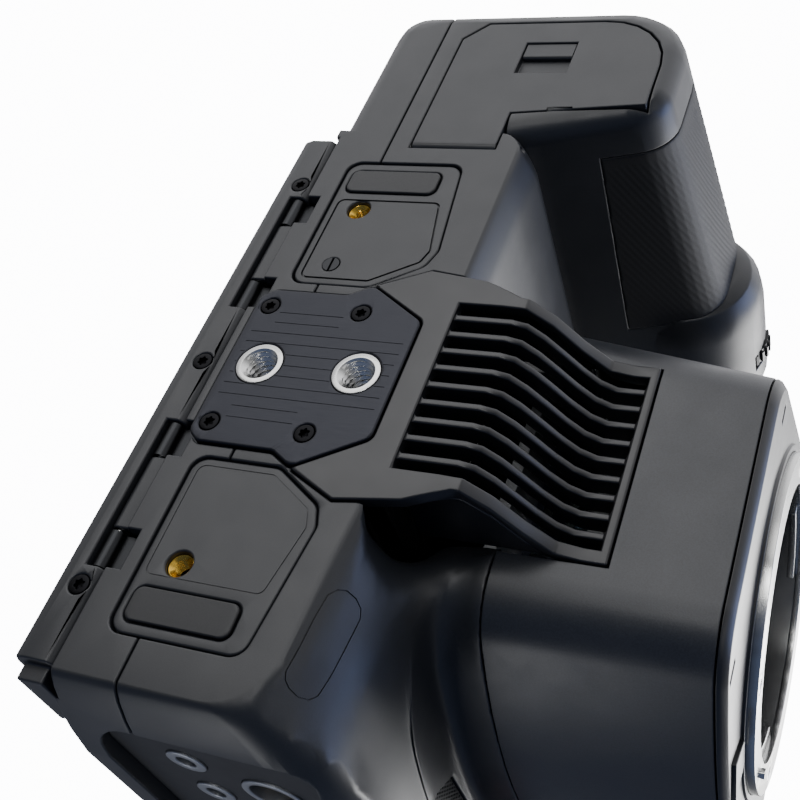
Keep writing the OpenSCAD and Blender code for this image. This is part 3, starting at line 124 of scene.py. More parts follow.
def add_node(owner, kind, settings=None, inputs=None):
    """Adds a node to a material or a world. Inputs are values or other nodes' sockets."""
    tree = owner.node_tree
    node = tree.nodes.new(kind)
    for name, value in (settings or {}).items():
        setattr(node, name, value)
    for name, value in (inputs or {}).items():
        if isinstance(value, bpy.types.NodeSocket):
            tree.links.new(value, node.inputs[name])
        else:
            node.inputs[name].default_value = value
    return node


def new_material(name, colour, roughness, metallic=0.0, ior=1.5):
    """A surface of one colour, ready for more nodes."""
    material = bpy.data.materials.new(name)
    material.use_nodes = True
    shader = material.node_tree.nodes["Principled BSDF"]
    shader.inputs["Base Color"].default_value = linear(colour)
    shader.inputs["Roughness"].default_value = roughness
    shader.inputs["Metallic"].default_value = metallic
    shader.inputs["IOR"].default_value = ior
    return material, shader


print("a mid grey, #808080, is %.3f in linear light" % linear("#808080")[0])

# %% [markdown]
# A real surface is never one flat colour. Noise is made at a real size in millimetres, and
# the same noise can move the colour, the roughness and the height. Most of a noise's
# values lie in the middle, so that part of its range is stretched over the whole effect.

# %% Patterns in a finish
NOISE_ROUGHNESS = 0.6
TINT_FROM, TINT_TO = 0.3, 0.7
SPREAD_FROM, SPREAD_TO = 0.25, 0.75
MIX_DARK, MIX_LIGHT, MIX_RESULT = 6, 7, 2  # the colour sockets of a Mix node


def grain(material, size_mm, detail=2.0, stretch=(1, 1, 1)):
    """Noise whose blotches are about size_mm across, in the object's own space."""
    place = add_node(material, "ShaderNodeTexCoord")
    scaled = add_node(material, "ShaderNodeMapping", {},
                      {"Vector": place.outputs["Object"], "Scale": stretch})
    return add_node(material, "ShaderNodeTexNoise", {"noise_dimensions": "3D"},
                    {"Vector": scaled.outputs["Vector"], "Scale": 1 / (size_mm * MM),
                     "Detail": detail, "Roughness": NOISE_ROUGHNESS})


def tint(material, shader, pattern, dark, light):
    """Lets a pattern move the colour between two close shades."""
    share = add_node(material, "ShaderNodeMapRange", {},
                     {"Value": pattern, "From Min": TINT_FROM, "From Max": TINT_TO})
    mix = add_node(material, "ShaderNodeMix", {"data_type": "RGBA"},
                   {"Factor": share.outputs["Result"]})
    mix.inputs[MIX_DARK].default_value = linear(dark)
    mix.inputs[MIX_LIGHT].default_value = linear(light)
    material.node_tree.links.new(mix.outputs[MIX_RESULT], shader.inputs["Base Color"])


def vary_roughness(material, shader, pattern, middle, less, more):
    """Lets a pattern move the roughness from less under the middle to more above it."""
    spread = add_node(material, "ShaderNodeMapRange", {},
                      {"Value": pattern, "From Min": SPREAD_FROM, "From Max": SPREAD_TO,
                       "To Min": middle - less, "To Max": middle + more})
    material.node_tree.links.new(spread.outputs["Result"], shader.inputs["Roughness"])


def relief(material, shader, pattern, depth_mm, strength):
    """Turns a pattern into bumps that are depth_mm deep."""
    bump = add_node(material, "ShaderNodeBump", {},
                    {"Height": pattern, "Distance": depth_mm * MM, "Strength": strength})
    material.node_tree.links.new(bump.outputs["Normal"], shader.inputs["Normal"])


print("patterns: grain, tint, roughness, relief")

# %% [markdown]
# ## Moulded casing
# The casing is glass-filled polycarbonate. The mould was spark-eroded, which leaves a fine
# even grain, so highlights are wide and soft and the black looks charcoal. Two layers of
# noise give the grain and the faint cloudiness of handling. The grain is drawn coarser than
# a real one, which would be too fine to show.

# %% Polycarbonate for the casing
CLOUD_MM = 9.0
POLYCARBONATE_IOR = 1.58


def moulded(name, dark, light, roughness, grit_mm, depth_mm):
    """A moulded or lacquered surface: two close shades, a fine grain, a cloudy sheen."""
    material, shader = new_material(name, dark, roughness, ior=POLYCARBONATE_IOR)
    grit = grain(material, grit_mm, detail=3.0).outputs["Fac"]
    cloud = grain(material, CLOUD_MM).outputs["Fac"]
    tint(material, shader, grit, dark, light)
    vary_roughness(material, shader, cloud, roughness, less=0.04, more=0.05)
    relief(material, shader, grit, depth_mm, strength=0.35)
    return material


# The outer casing: grainy from the mould, with a wide soft highlight.
CASING = moulded("polycarbonate_spark_eroded", "#1d1f22", "#24262a", 0.40, 0.22, 0.03)
# The lens housing is painted: a little lighter, and its highlight is a little tighter.
HOUSING = moulded("polycarbonate_painted_satin", "#1c1e22", "#2a2d33", 0.36, 0.30, 0.04)
# Trim comes from a polished mould: darker, smoother, hardly any grain.
TRIM = moulded("polycarbonate_smooth_trim", "#17181b", "#1b1c1f", 0.32, 0.20, 0.015)
# Walls inside are matt and nearly black, so that they draw no attention.
INSIDE = moulded("polycarbonate_dark_inside", "#0c0c0e", "#101114", 0.55, 0.30, 0.02)
print("casing finishes: 4")

# %% [markdown]
# ## Metals
# The bayonet ring and the thread inserts are turned stainless steel: bright, with tool
# marks so fine that they only soften the highlight. The base plate is aluminium, anodised
# black, brushed from front to back. A metal keeps the default IOR, since its colour does
# that work.

# %% Steel, aluminium and brass
TOOL_MARK_MM = 0.12
BRUSH_MARK_MM = 0.14
ALONG_THE_BRUSH = (1, 0.03, 1)


def turned_metal(name, colour, roughness):
    """Metal from the lathe, with marks too fine to be seen one by one."""
    material, shader = new_material(name, colour, roughness, metallic=1.0)
    marks = grain(material, TOOL_MARK_MM).outputs["Fac"]
    vary_roughness(material, shader, marks, roughness, less=0.05, more=0.08)
    relief(material, shader, marks, depth_mm=0.006, strength=0.3)
    return material


def brushed_metal(name, colour, roughness):
    """Metal with long marks from front to back."""
    material, shader = new_material(name, colour, roughness, metallic=1.0)
    marks = grain(material, BRUSH_MARK_MM, detail=3.0, stretch=ALONG_THE_BRUSH).outputs["Fac"]
    vary_roughness(material, shader, marks, roughness, less=0.06, more=0.10)
    relief(material, shader, marks, depth_mm=0.02, strength=0.5)
    return material


# Bright and hard, the brightest thing on the camera.
STEEL = turned_metal("stainless_steel_turned", "#d6d6d4", 0.20)
# Blackened steel: grey where light falls on it, dark elsewhere.
DARK_STEEL = turned_metal("steel_blackened", "#3a3b3d", 0.34)
# Screws with an oxide skin, nearly as dark as the plastic round them.
BLACK_SCREW = turned_metal("steel_black_oxide", "#1c1c1e", 0.36)
# Brass of the bushes and the socket pins: warm yellow, quite smooth.
BRASS = turned_metal("brass_turned", "#d8b04a", 0.22)
# Plain aluminium of the sockets and the pieces inside: pale and dull.
ALUMINIUM = brushed_metal("aluminium_plain", "#a9abad", 0.38)
# Anodised and brushed: dark grey, with a highlight that the brushing draws out.
ANODISED = brushed_metal("aluminium_anodised_black", "#3a3b40", 0.42)
print("metal finishes: 6")

# %% [markdown]
# ## Rubber, glass and the rest
# The grip's skin is soft thermoplastic rubber, matt and darker than the casing. The
# screen's glass looks black, with one clear reflection. The image sensor has the bluish
# sheen of its coating, and circuit boards have green solder mask.

# %% Rubber, glass and boards
RUBBER_GRIT_MM = 0.35
RUBBER_IOR = GLASS_IOR = 1.52


def rubber(name, colour, roughness):
    """Rubber whose fine grit makes the highlight wide and weak."""
    material, shader = new_material(name, colour, roughness, ior=RUBBER_IOR)
    grit = grain(material, RUBBER_GRIT_MM, detail=3.0).outputs["Fac"]
    vary_roughness(material, shader, grit, roughness, less=0.05, more=0.08)
    relief(material, shader, grit, depth_mm=0.02, strength=0.4)
    return material


# The grip's skin: matt, and darker than the plastic round it.
RUBBER = rubber("thermoplastic_rubber", "#0f0f11", 0.60)
# The foot strips are a harder rubber, smoother and lighter.
FOOT_RUBBER = rubber("silicone_foot_rubber", "#1d1e20", 0.46)
# Buttons are ABS from a polished mould, with a small clear highlight.
BUTTON = moulded("abs_button_black", "#131416", "#16171a", 0.34, 0.25, 0.01)
# The record button is the same plastic in a deep red.
BUTTON_RED = moulded("abs_button_red", "#7d1216", "#8a1519", 0.34, 0.25, 0.01)
# Lacquer over the copper of a board: green, with the cloudiness of its thickness.
BOARD = moulded("solder_mask_green", "#0e4a26", "#115a2e", 0.35, 0.6, 0.01)
# Cover glass over a black print: black with a mirror's reflection.
SCREEN_GLASS, _shader = new_material("glass_over_black", "#050506", 0.06, ior=GLASS_IOR)
# Filter glass: clear, with a trace of green.
CLEAR_GLASS, shader = new_material("glass_filter", "#dfeee9", 0.03, ior=GLASS_IOR)
shader.inputs["Transmission Weight"].default_value = 0.92
# Coated silicon: dark blue, half metal, under a thin clear coat.
SENSOR, shader = new_material("silicon_coated", "#20283a", 0.12, metallic=0.6)
shader.inputs["Coat Weight"].default_value = 0.5
print("other finishes: 8")

# %% [markdown]
# Each piece of the frame gets the finish of its kind. The record already groups the pieces
# by slot, so one short list pairs each slot with its finish. A few pieces differ from the
# rest of their slot, and have a line of their own.

# %% Give every piece its finish
FINISH_OF_SLOT = {
    "casing_plastic": CASING, "rubber_black": RUBBER, "base_metal": ANODISED,
    "bright_steel": STEEL, "dark_steel": DARK_STEEL, "black_screw": BLACK_SCREW,
    "brass": BRASS, "aluminium": ALUMINIUM, "button_black": BUTTON, "button_red": BUTTON_RED,
    "inner_plastic": INSIDE, "glass_dark": SCREEN_GLASS, "glass_clear": CLEAR_GLASS,
    "board_green": BOARD, "sensor": SENSOR,
}
FINISH_OF_NODE = {
    "foot_strips": FOOT_RUBBER, "lens_housing": HOUSING, "front_plate": TRIM,
    "air_inlet": TRIM, "screen_frame": CASING,
}
SLOT_OF_NODE = {part["node"]: part["material_slot"] for part in frame["record"]["subparts"]}


def finish_of(node):
    """The finish of a CAD node."""
    return FINISH_OF_NODE.get(node, FINISH_OF_SLOT[SLOT_OF_NODE[node]])


for name, piece in NODES.items():
    piece.data.materials.clear()
    piece.data.materials.append(finish_of(name))
print("dressed", len(NODES), "pieces")

# %% [markdown]
# ## Rounded edges
# No moulded edge is sharp: a radius of a few tenths of a millimetre draws a thin highlight
# along it, and that line is what makes a part look real. A bevel modifier does it. Where
# two bevels meet badly a point can shoot out, so each such point goes back onto the solid.
# Weighted normals then let the large faces stay flat while the small ones look round.

# %% Bevels that behave
STRAY_SHARE = 0.8  # a point this share of the edge's width off the solid is a stray
FULL_WEIGHT = 100


def applied(piece):
    """Turns a piece's modifiers into mesh."""
    graph = bpy.context.evaluated_depsgraph_get()
    result = bpy.data.meshes.new_from_object(piece.evaluated_get(graph))
    piece.modifiers.clear()
    piece.data = result


def pull_in_strays(piece, solid, edge_mm):
    """Applies the bevel, then puts the points that shot out back onto the solid."""
    applied(piece)
    tree = BVHTree.FromObject(solid, bpy.context.evaluated_depsgraph_get())
    for vertex in piece.data.vertices:
        place, _normal, _face, away = tree.find_nearest(vertex.co)
        if away > STRAY_SHARE * edge_mm * MM:
            vertex.co = place


def weigh_normals(piece, keep_sharp):
    """Shades a piece by its large faces, so that flat faces stay flat."""
    weighted = piece.modifiers.new("flat_faces_stay_flat", "WEIGHTED_NORMAL")
    weighted.mode = "FACE_AREA"
    weighted.weight = FULL_WEIGHT
    weighted.keep_sharp = keep_sharp


print("a stray is a point more than", STRAY_SHARE, "of the edge's width off the solid")

# %% [markdown]
# Each piece in the list is copied, its doubled points are welded, and every edge that
# turns far enough is bevelled. The copy rides where the CAD piece rides, and takes its
# place.

# %% Copy a piece with rounded edges
WELD_MM = 0.002
ROUND_FROM = math.radians(32)
EDGES_MM = {
    "front_shell": 0.35, "rear_shell": 0.35, "battery_door": 0.3, "top_cover": 0.35,
    "lens_housing": 0.2, "front_plate": 0.2, "air_inlet": 0.38, "base_plate": 0.45,
    "grip_side_cover": 0.4, "port_side_cover": 0.4, "foot_strips": 0.3,
    "door_latch": 0.15, "screen_frame": 0.4, "bayonet_ring": 0.15, "release_button": 0.25,
}


def rounded_copy(node, edge_mm, segments=2):
    """A copy of a CAD node, with its edges rounded by edge_mm."""
    mesh = NODES[node].data.copy()
    piece = bpy.data.objects.new(node + "_rounded", mesh)
    bpy.context.scene.collection.objects.link(piece)
    work = bmesh.new()
    work.from_mesh(mesh)
    bmesh.ops.remove_doubles(work, verts=work.verts, dist=WELD_MM * MM)
    work.to_mesh(mesh)
    work.free()
    for face in mesh.polygons:
        face.use_smooth = True
    bevel = piece.modifiers.new("edge", "BEVEL")
    bevel.width = edge_mm * MM
    bevel.segments = segments
    bevel.limit_method = "ANGLE"
    bevel.angle_limit = ROUND_FROM
    bevel.use_clamp_overlap = False
    bevel.loop_slide = False
    pull_in_strays(piece, NODES[node], edge_mm)
    weigh_normals(piece, keep_sharp=False)
    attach(piece, NODES[node]["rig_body"])
    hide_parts(node)
    return piece


for name, edge in EDGES_MM.items():
    rounded_copy(name, edge)
print("rounded", len(EDGES_MM), "pieces")

# %% [markdown]
# ## Turned and threaded pieces
# Screws, inserts and bushes are turned on a lathe, so each is a stack of rings joined by
# faces. A ring's radius may change with the angle, which gives a six-lobed recess, and with
# the angle and the depth together, which gives a real thread that winds down the bore.

# %% Stacks of rings
RING_POINTS = 48


def ring(radius_of, depth_mm):
    """Points round the z axis. radius_of takes an angle and gives a radius in mm."""
    angles = [2 * math.pi * i / RING_POINTS for i in range(RING_POINTS)]
    return [Vector((radius_of(a) * math.cos(a), radius_of(a) * math.sin(a), depth_mm)) * MM
            for a in angles]


def plain(radius_mm, depth_mm):
    """A round ring."""
    return ring(lambda angle: radius_mm, depth_mm)


def join_rings(work, rings, at, tube=False):
    """Skins the rings in order. A tube's last ring meets its first, and others get caps."""
    rows = [[work.verts.new(at @ point) for point in one] for one in rings]
    pairs = list(zip(rows, rows[1:])) + ([(rows[-1], rows[0])] if tube else [])
    for low, high in pairs:
        for i in range(len(low)):
            j = (i + 1) % len(low)
            work.faces.new((low[i], low[j], high[j], high[i]))
    if not tube:
        work.faces.new(rows[0][::-1])
        work.faces.new(rows[-1])


print("points on a ring:", RING_POINTS)

# %% [markdown]
# A mesh that was built becomes a piece of the scene here. It rides on the same
# body as the CAD piece that it belongs to, and usually takes that piece's place. Two more
# helpers read a CAD piece's box and turn a place in millimetres into a matrix.

# %% Pieces from a mesh
SHARP_FROM = math.radians(35)


def add_piece(name, work, like, finish=None, replaces=True):
    """Makes a scene piece of the mesh in work, which belongs to the CAD node like."""
    bmesh.ops.recalc_face_normals(work, faces=work.faces)
    mesh = bpy.data.meshes.new(name)
    work.to_mesh(mesh)
    work.free()
    mesh.materials.append(finish or finish_of(like))
    for face in mesh.polygons:
        face.use_smooth = True
    mesh.set_sharp_from_angle(angle=SHARP_FROM)
    piece = bpy.data.objects.new(name, mesh)
    bpy.context.scene.collection.objects.link(piece)
    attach(piece, NODES[like]["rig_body"])
    if replaces:
        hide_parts(like)
    return piece


def corners_of(points):
    """The lowest and the highest corner of the box round some points."""
    return (Vector([min(p[i] for p in points) for i in range(3)]),
            Vector([max(p[i] for p in points) for i in range(3)]))


def box_mm(node):
    """The lowest and the highest corner of a CAD node, in millimetres."""
    return corners_of([vertex.co / MM for vertex in NODES[node].data.vertices])


def at_mm(x, y, z, facing=None):
    """A place in mm. facing turns the local +z axis, which points into the body."""
    turn = facing.to_track_quat("Z", "Y").to_matrix().to_4x4() if facing else Matrix.Identity(4)
    return Matrix.Translation(Vector((x, y, z)) * MM) @ turn


low, high = box_mm("base_plate")
print("base plate, mm: %.1f x %.1f x %.1f" % tuple(high - low))

# %% [markdown]
# The black screws have six-lobed recesses. The lobes are a cosine with six waves to the
# turn, and a small chamfer on both edges of the face keeps the recess readable.

# %% Black screws of the base plate and the screen
FLUSH_MM = 0.02  # a turned face lies this far under the face round it
RECESS_SHARE, RECESS_DEEP = 0.46, 0.85  # of the head's radius, of its thickness
CONE_SHARE, CONE_DEEP = 0.3, 0.95  # the recess ends in a cone: of its radius, how deep
LOBES, LOBE_SHARE = 6, 0.17
HEAD_EDGE_MM = ((0.05, 0.2), (0.12, 0.08), (0.28, FLUSH_MM))  # in from the rim, depth
RECESS_EDGE_MM = ((0.10, FLUSH_MM), (0, 0.12))  # wider than the recess, depth
RECESS_TAPER_MM = 0.04
BLACK_HEAD_MM, BLACK_SHANK_MM = 1.9, 1.0
BLACK_SCREWS = {  # places in mm and thickness of the head
    "base_screws": ([(x, y) for x in (-14, 14) for y in (4.5, 23.8)], 1.2),
    "screen_screws": ([(x, 32.6) for x in (-48.8, 0, 48.8)], 1.1),
}


def lobed_screw(work, at, head_mm, thickness_mm, shank_mm, length_mm):
    """A screw with a recess, its face outwards. head_mm and shank_mm are radii."""
    recess = head_mm * RECESS_SHARE

    def star(wider_mm):
        return lambda angle: (recess + wider_mm) * (1 + LOBE_SHARE * math.cos(LOBES * angle))

    shank = [plain(shank_mm, length_mm), plain(shank_mm, thickness_mm)]
    head = [plain(head_mm - HEAD_EDGE_MM[0][0], thickness_mm)]
    head += [plain(head_mm - inset, depth) for inset, depth in HEAD_EDGE_MM]
    hole = [ring(star(wider), depth) for wider, depth in RECESS_EDGE_MM]
    hole += [ring(star(-RECESS_TAPER_MM), thickness_mm * RECESS_DEEP),
             plain(recess * CONE_SHARE, thickness_mm * CONE_DEEP)]
    join_rings(work, shank + head + hole, at)


for node, (places, thickness) in BLACK_SCREWS.items():
    work = bmesh.new()
    low, high = box_mm(node)
    for x, y in places:
        lobed_screw(work, at_mm(x, y, low.z), BLACK_HEAD_MM, thickness, BLACK_SHANK_MM,
                    high.z - low.z)
    add_piece(node + "_lobed", work, node)
print("black screws:", sum(len(places) for places, _thickness in BLACK_SCREWS.values()))

# %% [markdown]
# A camera thread is a quarter of an inch across with 20 turns to the inch, so its pitch is
# 1.27 mm. The ring radius swings between the crest and the root once per pitch, and the
# swing moves with the angle. At the mouth a cone cuts the first turns away.

# %% Threaded inserts and brass bushes
RINGS_PER_TURN = 10
TOOTH_FOOT, TOOTH_FLANK = 0.85, 0.7  # where a tooth starts and how wide its flank is
FLANGE_EDGE_MM = ((0.2, FLUSH_MM), (0.06, 0.08), (0, 0.22))  # in from the rim, depth
BUSH_EDGE_MM = 0.1
CAMERA_THREAD = {"crest_mm": 2.6, "root_mm": 3.2, "pitch_mm": 25.4 / 20,
                 "outside_mm": 4.55, "length_mm": 8.0}
SMALL_THREAD = {"crest_mm": 1.25, "root_mm": 1.5, "pitch_mm": 0.5, "outside_mm": 2.35}


def threaded_bush(work, at, crest_mm, root_mm, pitch_mm, outside_mm, length_mm, mouth_mm,
                  flange_mm=None):
    """A bush with a thread inside. All but pitch and length are radii.

    flange_mm is a flange's radius and its thickness."""
    def bore(depth):
        def radius(angle):
            phase = (depth / pitch_mm - angle / (2 * math.pi)) % 1
            tooth = min(1, max(0, (TOOTH_FOOT - abs(2 * phase - 1)) / TOOTH_FLANK))
            return max(root_mm - (root_mm - crest_mm) * tooth, mouth_mm - depth)
        return radius

    steps = round(length_mm / pitch_mm * RINGS_PER_TURN)
    depths = [length_mm * (1 - i / steps) for i in range(steps)]
    rings = [ring(bore(depth), depth) for depth in depths] + [plain(mouth_mm, FLUSH_MM)]
    shoulder_mm = BUSH_EDGE_MM
    if flange_mm:
        rim_mm, shoulder_mm = flange_mm
        rings += [plain(rim_mm - inset, depth) for inset, depth in FLANGE_EDGE_MM]
        rings += [plain(rim_mm, shoulder_mm)]
    rings += [plain(outside_mm, shoulder_mm), plain(outside_mm, length_mm)]
    join_rings(work, rings, at, tube=True)


work = bmesh.new()
for y in (0, 19.8):
    threaded_bush(work, at_mm(0, y, 0), **CAMERA_THREAD, mouth_mm=3.6, flange_mm=(4.6, 1.0))
add_piece("tripod_inserts_threaded", work, "tripod_inserts")
work = bmesh.new()
threaded_bush(work, at_mm(0, -4, 110, Vector((0, 0, -1))), **CAMERA_THREAD, mouth_mm=4.2,
              flange_mm=(5.35, 1.0))
add_piece("top_insert_threaded", work, "top_insert")

low, high = box_mm("brass_bushes")
work = bmesh.new()
for x in (-42, 42):
    threaded_bush(work, at_mm(x, 16.2, low.z), **SMALL_THREAD, length_mm=high.z - low.z,
                  mouth_mm=2.15)
add_piece("brass_bushes_threaded", work, "brass_bushes")
print("threaded bushes: 5, camera pitch %.2f mm" % CAMERA_THREAD["pitch_mm"])

# %% [markdown]
# ## Grooves in the covers
# Each foot cover has a panel line that follows its outline. A thin closed band is made from
# the same corners as the cover, moved inwards, with each corner turned into a small arc.

# %% Bands along an outline
ARC_STEPS = 6
LONGEST_ARC = 0.45  # of the shorter side at a corner
SMALLEST_RADIUS_MM = 0.3


def corner_shift(corners, inset):
    """Corners of an outline, moved inwards. They run round it once, to the left."""
    shifted = []
    for i, here in enumerate(corners):
        before, after = corners[i - 1], corners[(i + 1) % len(corners)]
        a, b = (here - before).normalized(), (after - here).normalized()
        normal_a, normal_b = Vector((-a.y, a.x)), Vector((-b.y, b.x))
        shifted.append(here + (normal_a + normal_b) * inset / (1 + normal_a.dot(normal_b)))
    return shifted


def rounded_outline(corners, radius):
    """An outline with round corners, as points in mm."""
    points = []
    for i, here in enumerate(corners):
        before, after = corners[i - 1], corners[(i + 1) % len(corners)]
        a, b = (before - here).normalized(), (after - here).normalized()
        half = a.angle(b) / 2
        shorter = min((before - here).length, (after - here).length)
        run = min(radius / math.tan(half), LONGEST_ARC * shorter)
        centre = here + (a + b).normalized() * run / math.cos(half)
        start, end = here + a * run - centre, here + b * run - centre
        sweep = start.angle_signed(end)
        for k in range(ARC_STEPS + 1):
            turned = start.copy()
            turned.rotate(Matrix.Rotation(-sweep * k / ARC_STEPS, 2))
            points.append(centre + turned)
    return points


def level(points, depth_mm):
    """Flat points in mm, put at one depth."""
    return [Vector((p.x, p.y, depth_mm)) * MM for p in points]


def band(work, corners, radius, inset, width, low_mm, high_mm):
    """A closed band of one width, which lies inset from the outline."""
    outer = rounded_outline(corner_shift(corners, inset),
                            max(radius - inset, SMALLEST_RADIUS_MM))
    inner = rounded_outline(corner_shift(corners, inset + width),
                            max(radius - inset - width, SMALLEST_RADIUS_MM))
    join_rings(work, [level(outer, low_mm), level(outer, high_mm), level(inner, high_mm),
                      level(inner, low_mm)], Matrix.Identity(4), tube=True)


print("points on a band's corner:", ARC_STEPS + 1)

# %% [markdown]
# A boolean modifier cuts such a band out of a piece. It loses the weighted normals, and
# flat faces would then look dished, so the normals are made again after each cut.

# %% Cuts
CREASE_FROM = math.radians(50)
CUTTER_OUT_MM = 0.5  # how far a cutter stands out of the surface


def even_normals(piece):
    """Shades flat faces flat and small edge faces round."""
    if "custom_normal" in piece.data.attributes:
        piece.data.attributes.remove(piece.data.attributes["custom_normal"])
    for face in piece.data.polygons:
        face.use_smooth = True
    piece.data.set_sharp_from_angle(angle=CREASE_FROM)
    weigh_normals(piece, keep_sharp=True)


def cut_with(piece, work, name):
    """Cuts the mesh in work out of a piece, and removes the cutter."""
    bmesh.ops.recalc_face_normals(work, faces=work.faces)
    mesh = bpy.data.meshes.new(name)
    work.to_mesh(mesh)
    work.free()
    cutter = bpy.data.objects.new(name, mesh)
    bpy.context.scene.collection.objects.link(cutter)
    boolean = piece.modifiers.new("cut", "BOOLEAN")
    boolean.operation = "DIFFERENCE"
    boolean.solver = "EXACT"
    boolean.object = cutter
    applied(piece)
    bpy.data.objects.remove(cutter)
    even_normals(piece)


def rounded(node):
    """The rounded copy of a CAD node."""
    return bpy.data.objects[node + "_rounded"]


print("cutters stand out by", CUTTER_OUT_MM, "mm")

# %% [markdown]
# The cover on the grip side has a deep panel line, and the one on the port side a faint
# line. Both follow the outline about 1.4 mm in, and stop at the rubber strip.

# %% Panel lines of the foot covers
COVER_MM = [Vector(p) for p in ((55.6, 23.1), (21.2, 23.1), (21.2, 6.36), (27.4, -3.4),
                                (31.5, -4.8), (55.6, -2.0))]
STRIP_FROM_MM = 46.3
PANEL_RADIUS_MM, PANEL_INSET_MM = 3.0, 1.4


def panel_line(cover, side, depth_mm, width_mm):
    """Cuts a panel line into a cover. side is 1 to port and -1 to the grip."""
    bottom_mm = box_mm(cover)[0].z
    corners = [Vector((min(p.x, STRIP_FROM_MM), p.y)) for p in COVER_MM]
    if side < 0:
        corners = [Vector((-p.x, p.y)) for p in reversed(corners)]
    work = bmesh.new()
    band(work, corners, PANEL_RADIUS_MM, PANEL_INSET_MM, width_mm,
         bottom_mm - CUTTER_OUT_MM, bottom_mm + depth_mm)
    cut_with(rounded(cover), work, "line")


panel_line("grip_side_cover", -1, depth_mm=0.45, width_mm=0.45)
panel_line("port_side_cover", 1, depth_mm=0.12, width_mm=0.25)
print("panel lines: 2")

# %% [markdown]
# ## Brushed lines of the base plate
# The plate was milled and brushed from front to back. Besides the fine brushing in the
# finish, a few real hairlines run between the screws, a tenth of a millimetre deep. The
# outer ones are shorter, so that they end before the screws.

# %% Hairlines in the base plate
HAIRLINES, HAIRLINE_PITCH_MM, FIRST_HAIRLINE_MM = 11, 2.5, -12.5
HAIRLINE_WIDTH_MM, HAIRLINE_DEPTH_MM, HAIRLINE_CUTTER_MM = 0.16, 0.1, 1.0
CLEAR_OF_SCREWS_MM = 9
LONG_LINE_MM, SHORT_LINE_MM = (-6.5, 25), (7.5, 21)


def add_box(work, size_mm, middle_mm):
    """Adds a box to a mesh."""
    corners = bmesh.ops.create_cube(work, size=1)["verts"]
    bmesh.ops.scale(work, verts=corners, vec=Vector(size_mm) * MM)
    bmesh.ops.translate(work, verts=corners, vec=Vector(middle_mm) * MM)


work = bmesh.new()
for i in range(HAIRLINES):
    x = FIRST_HAIRLINE_MM + HAIRLINE_PITCH_MM * i
    start, end = LONG_LINE_MM if abs(x) < CLEAR_OF_SCREWS_MM else SHORT_LINE_MM
    add_box(work, (HAIRLINE_WIDTH_MM, end - start, HAIRLINE_CUTTER_MM),
            (x, (start + end) / 2, HAIRLINE_DEPTH_MM - HAIRLINE_CUTTER_MM / 2))
cut_with(rounded("base_plate"), work, "hairlines")
print("hairlines:", HAIRLINES)

# %% [markdown]
# ## The soft neck
# Between the body and the lens housing the casing runs in one soft valley. The copy of the
# front shell is divided finely there, and each point moves toward the mean of its
# neighbours. The effect fades out before the seams, so every seam stays where it was.

# %% Soften the neck
NECK = {"low": Vector((14, -29, 1)), "high": Vector((64, -8, 50)), "fade_mm": 5.0,
        "rounds": 140}
COLLAR = {"low": Vector((20, -29, 30)), "high": Vector((47.2, -10, 92)), "fade_mm": 1.8,
          "rounds": 110}
LONGEST_EDGE_MM = 1.8
TIMES_HALVED = 4
SHARE_PER_ROUND = 0.6


def soften(piece, low, high, fade_mm, rounds):
    """Smooths the part of a piece inside a box, whose corners are in mm."""
    applied(piece)
    work = bmesh.new()
    work.from_mesh(piece.data)

    def inside(point):
        """0 outside the box, 1 well inside it."""
        depth = min(min(point[k] / MM - low[k], high[k] - point[k] / MM) for k in range(3))
        return min(1, max(0, depth / fade_mm))

    def into_triangles():
        bmesh.ops.triangulate(work, faces=[
            f for f in work.faces if len(f.verts) > 3 and any(inside(v.co) > 0 for v in f.verts)])

    for _ in range(TIMES_HALVED):
        into_triangles()
        long_edges = [e for e in work.edges if e.calc_length() > LONGEST_EDGE_MM * MM and
                      inside((e.verts[0].co + e.verts[1].co) / 2) > 0]
        bmesh.ops.subdivide_edges(work, edges=long_edges, cuts=1)
    into_triangles()
    weights = {v: inside(v.co) for v in work.verts if inside(v.co) > 0}
    for _ in range(rounds):
        moves = {}
        for vertex, weight in weights.items():
            near = [e.other_vert(vertex).co for e in vertex.link_edges]
            mean = sum(near, Vector()) / len(near)
            moves[vertex] = (mean - vertex.co) * SHARE_PER_ROUND * weight
        for vertex, move in moves.items():
            vertex.co += move
    work.to_mesh(piece.data)
    work.free()
    even_normals(piece)


for region in (NECK, COLLAR):
    soften(rounded("front_shell"), **region)
print("front shell:", len(rounded("front_shell").data.polygons), "faces")

# %% [markdown]
# ## Thin lines on curved faces
# The pad on the port side has a thin outline that crosses a curved face, and the battery
# door has a small slot. Each corner of a line is put on the nearest place of the surface,
# and a square wire through those places is cut out of the piece.

# %% Lines on curved faces
PAD_MM = ((40.7, -12.0, 2.7), (40.0, -12.9, 3.9), (40.2, -14.0, 5.7), (41.1, -14.7, 7.1),
          (42.6, -15.0, 7.6), (48.1, -14.6, 7.4), (53.1, -14.0, 7.4), (56.4, -13.4, 7.2),
          (57.6, -12.6, 6.4), (58.1, -11.5, 5.0), (57.7, -10.4, 3.4), (56.9, -9.8, 2.3),
          (55.7, -9.6, 1.8), (51.3, -10.2, 1.7), (46.3, -10.6, 1.7), (42.2, -11.1, 1.9))
DOOR_SLOT_MM = ((-73.1, -14.9, 0.6), (-73.7, -20.3, 0.6))


